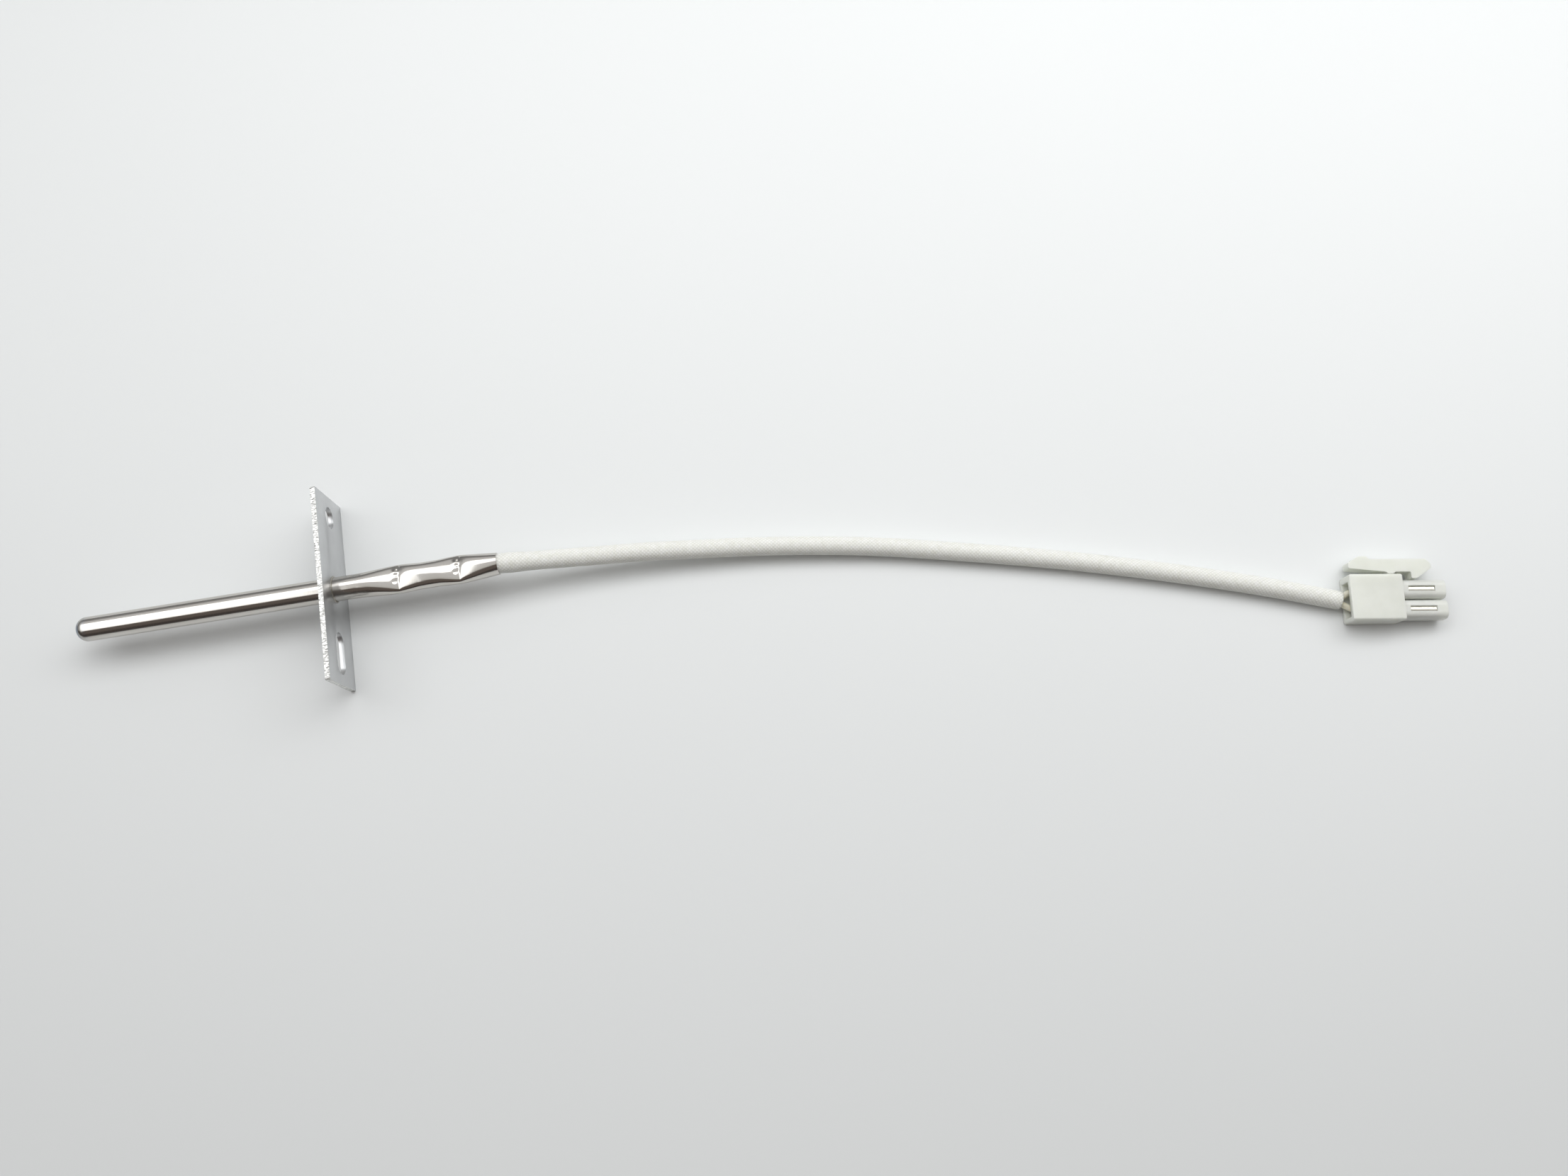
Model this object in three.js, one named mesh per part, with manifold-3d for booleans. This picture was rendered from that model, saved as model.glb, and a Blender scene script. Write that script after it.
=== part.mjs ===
// Bulkhead thermocouple probe: a crimped steel sheath welded through a slotted mounting plate, with its
// ceramic core and welded hot junction, a braided glass-fibre lead and a two-way latching connector.
// The probe lies with its plate standing on one long edge. Millimetres, +Z up.
// +X runs along the sheath from the hot tip to the lead, and the origin lies on the surface under the
// middle of the probe.

import * as THREE from 'three';
import { mergeVertices } from 'three/addons/utils/BufferGeometryUtils.js';
import Module from 'manifold-3d';

const wasm = await Module();
wasm.setup();

// ---- Driving dimensions ----

const ROUND_SIDES = 24; // shared by every round piece on the probe's axis, so that they nest
const FIT_GAP = 0.05; // between pieces of the probe that touch

const PROBE_LENGTH = 86;
const TIP_X = -PROBE_LENGTH / 2;
const MOUTH_X = PROBE_LENGTH / 2;

const PLATE_LENGTH = 40;
const PLATE_HEIGHT = 15;
const PLATE_THICKNESS = 1;
const PLATE_REAR_X = 9.5;
const PLATE_CORNER_RADIUS = 0.35;
const PLATE_BORE_RADIUS = 2.8;
const SCREW_HOLE_Y = 15.4;
const SLOT_Y = -13.4;
const SLOT_LENGTH = 8.8;
const SCREW_WIDTH = 4.5; // both the round hole and the slot take an M4 screw
const AXIS_Z = PLATE_HEIGHT / 2;

const SHEATH_RADIUS = 2.5;
const SHEATH_WALL = 0.3;
const DOME_DEPTH = 2.2;
const CAP_SPIGOT_LENGTH = 0.8;
const CRIMP_XS = [PLATE_REAR_X + 13.2, PLATE_REAR_X + 25.6];
const CRIMP_REACH = 8; // how far along the sheath a crimp spreads it
const CRIMP_SPREAD = 0.22; // the share that the sheath is widened by at a crimp
const CRIMP_FLATTEN = 2.6; // height lost for each share of width gained
const MOUTH_PINCH = 0.075;

const CORE_RADIUS = 1.5;
const WIRE_SPACING = 1.44; // between the centres of the two conductors
const THERMO_WIRE_RADIUS = 0.25;
const PACKING_RADIUS = 2.12;
const PACKING_BORE_RADIUS = 1.6;
const JUNCTION_X = TIP_X + 4.3;

const BARREL_RADIUS = 0.65;
const BARREL_BORE_RADIUS = 0.42;
const BARREL_LENGTH = 6.4;
const BARREL_X = 0.8;
const SEAL_X = 8.5;
const SEAL_LENGTH = 4.5;

const CONDUCTOR_RADIUS = 0.3;
const INSULATION_RADIUS = 0.65;
const INSULATION_BORE_RADIUS = 0.38;
const SLEEVE_RADIUS = 2;
const SLEEVE_BORE_RADIUS = 1.62;
const SLEEVE_INSERTION = 0.8; // how far the sleeve's plain solid reaches into the sheath's mouth

// The lead's centre line, from the sheath's mouth to just behind the connector. It leaves the sheath level,
// sinks to the surface on its own stiffness and lies there.
const LEAD_ROUTE = [
  [43, 0, 7.5],
  [51.1, -0.4, 6.6],
  [60.9, -0.9, 5.4],
  [72.4, -1.6, 4.5],
  [84.4, -2.7, 3.6],
  [96.4, -4, 3],
  [108.9, -5.8, 2.6],
  [121.6, -8.1, 2.25],
  [134.3, -11, 2.05],
  [146.9, -14.1, 2.02],
  [159.5, -17.4, 2.02],
  [173, -21.3, 2.02],
  [186.4, -25.5, 2.02],
  [199.7, -30, 2.02],
  [212.6, -34.8, 2.02],
];

// The connector's own axes: +x from its wire side to its mating side, +y towards its latch.
const CONNECTOR_POSITION = [213.6, -34.9, 0];
const CONNECTOR_TURN_DEG = -9;
const HOUSING_LENGTH = 10.7;
const HOUSING_WIDTH = 9.6;
const HOUSING_HEIGHT = 5.4;
const TOWER_END_X = 19.6;
const TOWER_WIDTH = 3.9;
const TOWER_HEIGHT = 4.3;
const CIRCUIT_YS = [1.8, -2.4];
const CHANNEL_WIDTH = 3.1;
const WIRE_ENTRY_DEPTH = 1.5;
const CIRCUIT_Z = HOUSING_HEIGHT / 2;
const LATCH_WIDTH = 3;
const LATCH_GAP = 0.3; // between the latch's foot and the housing

// ---- Helpers ----

const X = new THREE.Vector3(1, 0, 0);
const Y = new THREE.Vector3(0, 1, 0);
const Z = new THREE.Vector3(0, 0, 1);
const SECTION_TO_X = new THREE.Matrix4().makeBasis(Y, Z, X); // an outline in y and z, extruded along x
const LATHE_TO_X = new THREE.Matrix4().makeBasis(Z, X, Y); // a profile turned about x

const part = new THREE.Group();
const connector = new THREE.Group();
connector.position.set(...CONNECTOR_POSITION);
connector.rotation.z = THREE.MathUtils.degToRad(CONNECTOR_TURN_DEG);
part.add(connector);

function addPiece(name, geometry, look, parent = part) {
  const mesh = new THREE.Mesh(geometry, new THREE.MeshStandardMaterial(look));
  mesh.name = name;
  parent.add(mesh);
}

function toSolid(geometry) {
  const bare = geometry.clone();
  bare.deleteAttribute('normal');
  bare.deleteAttribute('uv');
  const merged = mergeVertices(bare, 1e-4);
  return new wasm.Manifold(new wasm.Mesh({
    numProp: 3,
    vertProperties: new Float32Array(merged.attributes.position.array),
    triVerts: new Uint32Array(merged.index.array),
  }));
}

function toGeometry(solid) {
  const mesh = solid.getMesh();
  const geometry = new THREE.BufferGeometry();
  geometry.setAttribute('position', new THREE.BufferAttribute(mesh.vertProperties, 3));
  geometry.setIndex(new THREE.BufferAttribute(mesh.triVerts, 1));
  return geometry;
}

function circle(radius, y = 0, z = 0, Kind = THREE.Shape) {
  const outline = new Kind();
  outline.absarc(y, z, radius, 0, 2 * Math.PI, false);
  return outline;
}

// A slot with round ends, lying along y.
function slot(length, width, y = 0, z = 0, Kind = THREE.Shape) {
  const radius = width / 2;
  const reach = length / 2 - radius;
  const outline = new Kind();
  outline.absarc(y + reach, z, radius, -Math.PI / 2, Math.PI / 2, false);
  outline.absarc(y - reach, z, radius, Math.PI / 2, 1.5 * Math.PI, false);
  outline.closePath();
  return outline;
}

// A rectangle in y and z, with its corners rounded.
function plateOutline(width, height, radius, y = 0, z = 0) {
  const [y0, y1, z0, z1] = [y - width / 2, y + width / 2, z - height / 2, z + height / 2];
  const outline = new THREE.Shape();
  outline.absarc(y1 - radius, z0 + radius, radius, -Math.PI / 2, 0, false);
  outline.absarc(y1 - radius, z1 - radius, radius, 0, Math.PI / 2, false);
  outline.absarc(y0 + radius, z1 - radius, radius, Math.PI / 2, Math.PI, false);
  outline.absarc(y0 + radius, z0 + radius, radius, Math.PI, 1.5 * Math.PI, false);
  outline.closePath();
  return outline;
}

function extrudeX(outline, x0, x1, sides = ROUND_SIDES) {
  const geometry = new THREE.ExtrudeGeometry(outline, {
    depth: x1 - x0,
    bevelEnabled: false,
    curveSegments: sides / 2,
  });
  return geometry.applyMatrix4(SECTION_TO_X).translate(x0, 0, 0);
}

// A box given by its two x values, its centre in y and z, and its two sizes.
function boxX(x0, x1, y, z, width, height) {
  return new THREE.BoxGeometry(x1 - x0, width, height).translate((x0 + x1) / 2, y, z);
}

// A profile of [radius, x] points turned about the x axis.
function turnX(profile, sides = ROUND_SIDES) {
  const points = profile.map(([radius, x]) => new THREE.Vector2(radius, x));
  return new THREE.LatheGeometry(points, sides).applyMatrix4(LATHE_TO_X);
}

function ring(outer, inner, x0, x1) {
  return turnX([[inner, x0], [outer, x0], [outer, x1], [inner, x1], [inner, x0]]);
}

// ---- Steel sheath, its welded end and its mounting plate ----

const steel = (color, roughness) => ({ color, roughness, metalness: 1 });

// The share that the sheath is widened by at x: a ridge at each crimp, and a pinch at the mouth.
function widening(x) {
  const ridges = CRIMP_XS.map((crimp) => Math.max(0, 1 - Math.abs(x - crimp) / CRIMP_REACH));
  const beyondCrimps = Math.max(0, (x - CRIMP_XS[1]) / (MOUTH_X - CRIMP_XS[1]));
  return CRIMP_SPREAD * (ridges[0] + ridges[1]) - MOUTH_PINCH * beyondCrimps;
}

function makeSheath() {
  const firstSpread = CRIMP_XS[0] - CRIMP_REACH;
  const stations = [TIP_X + DOME_DEPTH + FIT_GAP, 0];
  const steps = 28;
  for (let i = 0; i <= steps; i += 1) {
    stations.push(firstSpread + ((MOUTH_X - firstSpread) * i) / steps);
  }
  const outside = stations.map((x) => [SHEATH_RADIUS, x]);
  const inside = stations.map((x) => [SHEATH_RADIUS - SHEATH_WALL, x]).reverse();
  const geometry = turnX([...outside, ...inside, outside[0]]);
  const position = geometry.attributes.position;
  for (let i = 0; i < position.count; i += 1) {
    const share = widening(position.getX(i));
    position.setY(i, position.getY(i) * (1 + share));
    position.setZ(i, position.getZ(i) * (1 - CRIMP_FLATTEN * share));
  }
  return geometry.translate(0, 0, AXIS_Z);
}

function makeEndCap() {
  const shoulderX = TIP_X + DOME_DEPTH;
  const spigotRadius = SHEATH_RADIUS - SHEATH_WALL - FIT_GAP;
  const domeSteps = 6;
  const profile = [];
  for (let i = 0; i <= domeSteps; i += 1) {
    const angle = (Math.PI / 2) * (i / domeSteps);
    profile.push([SHEATH_RADIUS * Math.sin(angle), shoulderX - DOME_DEPTH * Math.cos(angle)]);
  }
  profile.push([spigotRadius, shoulderX]);
  profile.push([spigotRadius, shoulderX + CAP_SPIGOT_LENGTH], [0, shoulderX + CAP_SPIGOT_LENGTH]);
  return turnX(profile).translate(0, 0, AXIS_Z);
}

function makePlate() {
  const outline = plateOutline(PLATE_LENGTH, PLATE_HEIGHT, PLATE_CORNER_RADIUS, 0, AXIS_Z);
  outline.holes.push(
    circle(PLATE_BORE_RADIUS, 0, AXIS_Z, THREE.Path),
    circle(SCREW_WIDTH / 2, SCREW_HOLE_Y, AXIS_Z, THREE.Path),
    slot(SLOT_LENGTH, SCREW_WIDTH, SLOT_Y, AXIS_Z, THREE.Path),
  );
  return extrudeX(outline, PLATE_REAR_X - PLATE_THICKNESS, PLATE_REAR_X);
}

// The weld fills the joint between the sheath and the plate and stands a little proud on the lead's side,
// so that the seating face stays flat.
function makeWeld() {
  const inner = SHEATH_RADIUS + FIT_GAP;
  const outer = PLATE_BORE_RADIUS - FIT_GAP;
  const frontX = PLATE_REAR_X - PLATE_THICKNESS + FIT_GAP;
  const crownX = PLATE_REAR_X + 0.15;
  const profile = [[inner, frontX], [outer, frontX], [outer, PLATE_REAR_X]];
  profile.push([(inner + outer) / 2, crownX], [inner, PLATE_REAR_X], [inner, frontX]);
  return turnX(profile).translate(0, 0, AXIS_Z);
}

addPiece('sheath_tube', makeSheath(), steel(0xb9b6b0, 0.2));
addPiece('end_cap', makeEndCap(), steel(0x9a9da3, 0.3));
addPiece('mounting_plate', makePlate(), steel(0xb4b6b5, 0.3));
addPiece('weld_ring', makeWeld(), steel(0x8f8d88, 0.4));

// ---- Core: insulator, packing, the two thermocouple wires and their welded junction ----

const CORE_FRONT_X = JUNCTION_X + 0.9;
const CORE_REAR_X = -2;
const sides = { positive: 1, negative: -1 };

function makeInsulator() {
  const outline = circle(CORE_RADIUS);
  for (const side of Object.values(sides)) {
    outline.holes.push(circle(0.4, (side * WIRE_SPACING) / 2, 0, THREE.Path));
  }
  return extrudeX(outline, CORE_FRONT_X, CORE_REAR_X).translate(0, 0, AXIS_Z);
}

function makePacking() {
  const frontX = JUNCTION_X - 1.1;
  const floorX = frontX + 0.4;
  const rearX = CORE_REAR_X + 0.8;
  const profile = [[0, frontX], [PACKING_RADIUS, frontX], [PACKING_RADIUS, rearX]];
  profile.push([PACKING_BORE_RADIUS, rearX], [PACKING_BORE_RADIUS, floorX], [0, floorX]);
  return turnX(profile).translate(0, 0, AXIS_Z);
}

function makeJunction() {
  return new THREE.SphereGeometry(0.55, 16, 10).scale(1, 2.1, 1).translate(JUNCTION_X, 0, AXIS_Z);
}

addPiece('ceramic_insulator', makeInsulator(), { color: 0xefe9dc, roughness: 0.7, metalness: 0 });
addPiece('magnesia_packing', makePacking(), { color: 0xf2f0ea, roughness: 0.95, metalness: 0 });
addPiece('junction_bead', makeJunction(), steel(0x7d7a75, 0.4));

const wireLooks = { positive: steel(0x9b958c, 0.35), negative: steel(0xb0aca4, 0.35) };
for (const [name, side] of Object.entries(sides)) {
  const y = (side * WIRE_SPACING) / 2;
  const wire = extrudeX(circle(THERMO_WIRE_RADIUS), JUNCTION_X + 0.5, BARREL_X + 2.8, 8);
  addPiece(`thermo_wire_${name}`, wire.translate(0, y, AXIS_Z), wireLooks[name]);
  const barrelOutline = circle(BARREL_RADIUS);
  barrelOutline.holes.push(circle(BARREL_BORE_RADIUS, 0, 0, THREE.Path));
  const barrel = extrudeX(barrelOutline, BARREL_X, BARREL_X + BARREL_LENGTH, 16);
  addPiece(`splice_barrel_${name}`, barrel.translate(0, y, AXIS_Z), steel(0xc4c0b8, 0.3));
}

function makeSeal() {
  const outline = circle(PACKING_RADIUS);
  outline.holes.push(slot(2.98, 1.54, 0, 0, THREE.Path));
  return extrudeX(outline, SEAL_X, SEAL_X + SEAL_LENGTH).translate(0, 0, AXIS_Z);
}

addPiece('cement_seal', makeSeal(), { color: 0xd8d2c4, roughness: 0.95, metalness: 0 });

// ---- Lead: two insulated conductors in one braided sleeve ----

// A curve that is cut at its own points, so that cords which share a route nest inside each other.
function curveThrough(points) {
  const curve = new THREE.CatmullRomCurve3(points, false, 'centripetal');
  curve.getUtoTmapping = (u) => u;
  return curve;
}

function tubeAlong(points, radius, boreRadius, tubeSides) {
  const outline = circle(radius);
  if (boreRadius > 0) outline.holes.push(circle(boreRadius, 0, 0, THREE.Path));
  return new THREE.ExtrudeGeometry(outline, {
    steps: points.length - 1,
    extrudePath: curveThrough(points),
    bevelEnabled: false,
    curveSegments: tubeSides / 2,
  });
}

const route = LEAD_ROUTE.map((point) => new THREE.Vector3(...point));

// The route moved sideways, level with the surface.
function routeBeside(distance) {
  return route.map((point, i) => {
    const before = route[Math.max(0, i - 1)];
    const after = route[Math.min(route.length - 1, i + 1)];
    const along = new THREE.Vector3().subVectors(after, before).setZ(0).normalize();
    return new THREE.Vector3(-along.y, along.x, 0).multiplyScalar(distance).add(point);
  });
}

connector.updateMatrixWorld(true);
const atConnector = (x, y, z) => new THREE.Vector3(x, y, z).applyMatrix4(connector.matrixWorld);

// Inside the connector each conductor spreads to its own circuit.
function conductorPoints(side, startX, endX) {
  const y = (side * WIRE_SPACING) / 2;
  const circuitY = CIRCUIT_YS[side > 0 ? 0 : 1];
  const entryY = y + 0.6 * (circuitY - y);
  return [
    new THREE.Vector3(startX, y, AXIS_Z),
    ...routeBeside(y),
    atConnector(0.6, entryY, 2.4),
    atConnector(2, circuitY, CIRCUIT_Z),
    atConnector(endX, circuitY, CIRCUIT_Z),
  ];
}

const leadColours = { positive: 0xe9e4d6, negative: 0xded6c2 };
for (const [name, side] of Object.entries(sides)) {
  const conductor = conductorPoints(side, BARREL_X + 3.4, 6.6);
  addPiece(`lead_conductor_${name}`, tubeAlong(conductor, CONDUCTOR_RADIUS, 0, 8), steel(0xc9c6bf, 0.3));
  const insulation = conductorPoints(side, BARREL_X + BARREL_LENGTH + 0.3, 4);
  const look = { color: leadColours[name], roughness: 0.8, metalness: 0 };
  addPiece(
    `lead_insulation_${name}`,
    tubeAlong(insulation, INSULATION_RADIUS, INSULATION_BORE_RADIUS, 8),
    look,
  );
}

const sleeveStart = new THREE.Vector3(MOUTH_X - SLEEVE_INSERTION, 0, AXIS_Z);
addPiece(
  'braided_sleeve',
  tubeAlong([sleeveStart, ...route.slice(1)], SLEEVE_RADIUS, SLEEVE_BORE_RADIUS, 12),
  { color: 0xe6e4da, roughness: 0.9, metalness: 0 },
);

// ---- Connector: housing, two socket terminals and the latch ----

// One tower is a plain square and the other is rounded on one side, so that the plug fits one way round.
function towerOutline(circuit) {
  const y = CIRCUIT_YS[circuit];
  const [halfWidth, halfHeight] = [TOWER_WIDTH / 2, TOWER_HEIGHT / 2];
  const cut = circuit === 0 ? 1.2 : 0.45;
  const outline = new THREE.Shape();
  outline.moveTo(y + halfWidth, CIRCUIT_Z - halfHeight);
  outline.lineTo(y + halfWidth, CIRCUIT_Z + halfHeight);
  outline.lineTo(y - halfWidth + cut, CIRCUIT_Z + halfHeight);
  outline.lineTo(y - halfWidth, CIRCUIT_Z + halfHeight - cut);
  outline.lineTo(y - halfWidth, CIRCUIT_Z - halfHeight + cut);
  outline.lineTo(y - halfWidth + cut, CIRCUIT_Z - halfHeight);
  outline.closePath();
  return outline;
}

function makeHousing() {
  let housing = toSolid(boxX(0, HOUSING_LENGTH, 0, CIRCUIT_Z, HOUSING_WIDTH, HOUSING_HEIGHT));
  CIRCUIT_YS.forEach((y, circuit) => {
    housing = housing.add(toSolid(extrudeX(towerOutline(circuit), HOUSING_LENGTH - 1, TOWER_END_X)));
  });
  for (const y of CIRCUIT_YS) {
    const channel = boxX(-1, TOWER_END_X + 1, y, CIRCUIT_Z, CHANNEL_WIDTH, CHANNEL_WIDTH);
    housing = housing.subtract(toSolid(channel));
  }
  const entryWidth = CIRCUIT_YS[0] - CIRCUIT_YS[1] + CHANNEL_WIDTH;
  const entryY = (CIRCUIT_YS[0] + CIRCUIT_YS[1]) / 2;
  const entry = boxX(-1, WIRE_ENTRY_DEPTH, entryY, CIRCUIT_Z, entryWidth, CHANNEL_WIDTH);
  return toGeometry(housing.subtract(toSolid(entry)));
}

// A rolled sheet-metal socket: square contact box, neck, conductor crimp and insulation crimp.
function makeTerminal(y) {
  const bar = (x0, x1) => boxX(x0, x1, 0, -0.96, 1.2, 0.48);
  const tube = (outer, inner, x0, x1) => {
    const outline = circle(outer);
    outline.holes.push(circle(inner, 0, 0, THREE.Path));
    return extrudeX(outline, x0, x1, 12);
  };
  let terminal = toSolid(boxX(8.2, 18.2, 0, 0, 2.4, 2.4)).subtract(toSolid(boxX(7, 19, 0, 0, 1.8, 1.8)));
  terminal = terminal.add(toSolid(bar(3.6, 8.4)));
  terminal = terminal.add(toSolid(tube(0.85, 0.55, 4.5, 6.4)));
  terminal = terminal.add(toSolid(tube(1.25, 0.97, 2.2, 3.8)));
  return toGeometry(terminal).translate(0, y, CIRCUIT_Z);
}

// The rocking latch arm in outline: thumb pad behind, hook in front, and the web that it rocks on.
function makeLatch() {
  const footY = HOUSING_WIDTH / 2 + LATCH_GAP;
  const outline = new THREE.Shape([
    [0.5, 6.3], [0.5, 7.4], [1.6, 8.1], [2.7, 8.8], [4.4, 8.8], [4.8, 8.2], [16.4, 8.2], [17.4, 7.1], [17.4, 6.2],
    [14.3, 4.1], [13.2, 4.1], [13.2, 5.6], [11.6, 6.2], [10, 6.2], [9.7, footY], [8.5, footY], [8.2, 6.2],
  ].reverse().map(([x, y]) => new THREE.Vector2(x, y)));
  const geometry = new THREE.ExtrudeGeometry(outline, { depth: LATCH_WIDTH, bevelEnabled: false });
  return geometry.translate(0, 0, CIRCUIT_Z - LATCH_WIDTH / 2);
}

const nylon = { color: 0xdfe1d8, roughness: 0.45, metalness: 0 };
addPiece('connector_housing', makeHousing(), nylon, connector);
addPiece('latch_arm', makeLatch(), nylon, connector);
addPiece('terminal_positive', makeTerminal(CIRCUIT_YS[0]), steel(0xd8cfae, 0.3), connector);
addPiece('terminal_negative', makeTerminal(CIRCUIT_YS[1]), steel(0xd8cfae, 0.3), connector);

export default part;
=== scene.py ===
# %% [markdown]
# # A bulkhead thermocouple, piece by piece
# The part is a slim steel probe welded through a slotted plate, with a braided lead and a two-way plug.
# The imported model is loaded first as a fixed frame, in metres. Every finished piece then takes the place
# of a plain one, at the same spot, and rides on the same body.

# %% Load the frame
import math

import bmesh
import bpy
import numpy as np
from mathutils import Matrix, Vector


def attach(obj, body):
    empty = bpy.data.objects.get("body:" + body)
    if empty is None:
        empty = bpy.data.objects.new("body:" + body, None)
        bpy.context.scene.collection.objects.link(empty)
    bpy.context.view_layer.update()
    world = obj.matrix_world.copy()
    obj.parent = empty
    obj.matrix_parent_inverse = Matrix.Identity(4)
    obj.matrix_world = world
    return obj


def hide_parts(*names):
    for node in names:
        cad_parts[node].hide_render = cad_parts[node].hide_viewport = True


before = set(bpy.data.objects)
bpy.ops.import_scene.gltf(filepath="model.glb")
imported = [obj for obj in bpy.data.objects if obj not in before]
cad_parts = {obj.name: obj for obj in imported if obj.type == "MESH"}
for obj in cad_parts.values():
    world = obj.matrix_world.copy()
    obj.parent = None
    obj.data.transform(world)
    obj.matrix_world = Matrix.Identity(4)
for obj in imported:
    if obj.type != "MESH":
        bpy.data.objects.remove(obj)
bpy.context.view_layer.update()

MM = 0.001
X_AXIS = Vector((1, 0, 0))
Y_AXIS = Vector((0, 1, 0))
Z_AXIS = Vector((0, 0, 1))

# %% [markdown]
# ## The camera
# A long thin part that lies on a table is usually shown from almost overhead. An orthographic camera
# would do for a drawing, but a phone's moderate wide angle shows a little of each upright face, so a
# perspective camera with a 29 mm lens is set up from three plain facts: where it is, what it looks at,
# and which way is up in the picture.

# %% Camera
CAMERA_PLACE = Vector((92.66, -74.52, 261.08)) * MM
CAMERA_TARGET = Vector((100.0, -12.9, 0.0)) * MM
PICTURE_TURN = math.radians(9.293)
LENS_MM = 29.45


def make_camera():
    data = bpy.data.cameras.new("camera")
    data.lens = LENS_MM
    data.clip_start = 0.01
    camera = bpy.data.objects.new("camera", data)
    bpy.context.scene.collection.objects.link(camera)
    forward = (CAMERA_TARGET - CAMERA_PLACE).normalized()
    picture_up = Vector((math.sin(PICTURE_TURN), math.cos(PICTURE_TURN), 0))
    right = forward.cross(picture_up).normalized()
    up = right.cross(forward)
    turn = Matrix((right, up, -forward)).transposed()
    camera.matrix_world = Matrix.Translation(CAMERA_PLACE) @ turn.to_4x4()
    bpy.context.scene.camera = camera


make_camera()
print("camera", round((CAMERA_TARGET - CAMERA_PLACE).length / MM), "mm from the part")

# %% [markdown]
# ## Small helpers
# A few short functions serve the whole part. Some are for materials: one turns a web colour into the
# linear numbers that the shader wants, and one adds a shader node with its settings and links. The others
# are for meshes: the last step of every piece is to turn a bmesh, drawn in millimetres, into an object in
# metres that rides on its body.


# %% Helpers for colours and nodes
def linear(hex_colour):
    """A web colour such as 0xC8C4BC as linear red, green, blue and alpha."""
    channels = [(hex_colour >> shift & 255) / 255 for shift in (16, 8, 0)]
    lin = [c / 12.92 if c <= 0.04045 else ((c + 0.055) / 1.055) ** 2.4 for c in channels]
    return (*lin, 1.0)


def add(tree, kind, settings=None, **inputs):
    """Adds a node. Inputs are values, or sockets to link from; a name's underscores stand for spaces."""
    node = tree.nodes.new(kind)
    for key, value in (settings or {}).items():
        setattr(node, key, value)
    for name, value in inputs.items():
        place = int(name[1:]) if name[0] == "i" and name[1:].isdigit() else name.replace("_", " ")
        socket = node.inputs[place]
        if isinstance(value, bpy.types.NodeSocket):
            tree.links.new(value, socket)
        else:
            socket.default_value = value
    return node


def start_material(name):
    """A new material with an empty node tree, and the tree."""
    material = bpy.data.materials.new(name)
    material.use_nodes = True
    material.node_tree.nodes.clear()
    return material, material.node_tree


def close_material(material, **inputs):
    """Ends a material with the principled shader, which these inputs drive, and the output."""
    shader = add(material.node_tree, "ShaderNodeBsdfPrincipled", **inputs)
    add(material.node_tree, "ShaderNodeOutputMaterial", Surface=shader.outputs[0])
    return material


def ramp(tree, factor, *stops):
    """A colour ramp. Each stop is a place from 0 to 1 and a web colour."""
    node = add(tree, "ShaderNodeValToRGB", Fac=factor)
    elements = node.color_ramp.elements
    while len(elements) > 1:
        elements.remove(elements[-1])
    elements[0].position = stops[0][0]
    elements[0].color = linear(stops[0][1])
    for place, colour in stops[1:]:
        elements.new(place).color = linear(colour)
    return node.outputs["Color"]


def per_mm(size_in_mm):
    """The noise scale that gives features of this size."""
    return 1 / (size_in_mm * MM)


# %% Helpers for meshes
def finish_piece(bm, name, materials, replaced, body="probe", smooth_below=40):
    """Turns a bmesh in millimetres into a finished piece in metres."""
    bmesh.ops.remove_doubles(bm, verts=bm.verts, dist=1e-4)
    bmesh.ops.recalc_face_normals(bm, faces=bm.faces)
    bmesh.ops.scale(bm, vec=Vector((MM, MM, MM)), verts=bm.verts)
    mesh = bpy.data.meshes.new(name)
    bm.to_mesh(mesh)
    bm.free()
    for material in materials:
        mesh.materials.append(material)
    mesh.shade_smooth()
    mesh.set_sharp_from_angle(angle=math.radians(smooth_below))
    piece = bpy.data.objects.new(name, mesh)
    bpy.context.scene.collection.objects.link(piece)
    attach(piece, body)
    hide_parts(*replaced)
    triangles = sum(len(face.vertices) - 2 for face in mesh.polygons)
    print(name, triangles, "triangles")
    return piece


def verts_in(geom):
    return [part for part in geom if isinstance(part, bmesh.types.BMVert)]


def edges_in(geom):
    return [part for part in geom if isinstance(part, bmesh.types.BMEdge)]


def spin_profile(bm, profile, steps, closed=True):
    """Turns a profile of [x, radius] points about the x axis. An open one ends on the axis."""
    verts = [bm.verts.new((x, 0, radius)) for x, radius in profile]
    edges = [bm.edges.new(pair) for pair in zip(verts, verts[1:])]
    if closed:
        edges.append(bm.edges.new((verts[-1], verts[0])))
    bmesh.ops.spin(
        bm,
        geom=verts + edges,
        cent=(0, 0, 0),
        axis=X_AXIS,
        dvec=(0, 0, 0),
        angle=2 * math.pi,
        steps=steps,
        use_merge=True,
        use_duplicate=False,
    )


def edges_sharper_than(bm, degrees):
    limit = math.radians(degrees)
    return [e for e in bm.edges if e.is_manifold and e.calc_face_angle(0) > limit]


def bevel_edges(bm, edges, width, segments):
    bmesh.ops.bevel(
        bm,
        geom=edges,
        offset=width,
        offset_type="OFFSET",
        affect="EDGES",
        segments=segments,
        profile=0.5,
        material=-1,
        clamp_overlap=True,
    )


def thicken(bm, step):
    """Extrudes a flat sheet of faces into a solid."""
    made = bmesh.ops.extrude_face_region(bm, geom=bm.faces[:], use_keep_orig=True)["geom"]
    bmesh.ops.translate(bm, vec=step, verts=verts_in(made))


# %% [markdown]
# ## The lead's route
# The lead leaves the sheath level, sinks to the table on its own stiffness and lies there in one long
# curve. The route is a list of points, and a centripetal Catmull-Rom curve goes through every one of
# them without loops or overshoot, so the drawn lead lies exactly where the frame's plain tube lies.

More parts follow.
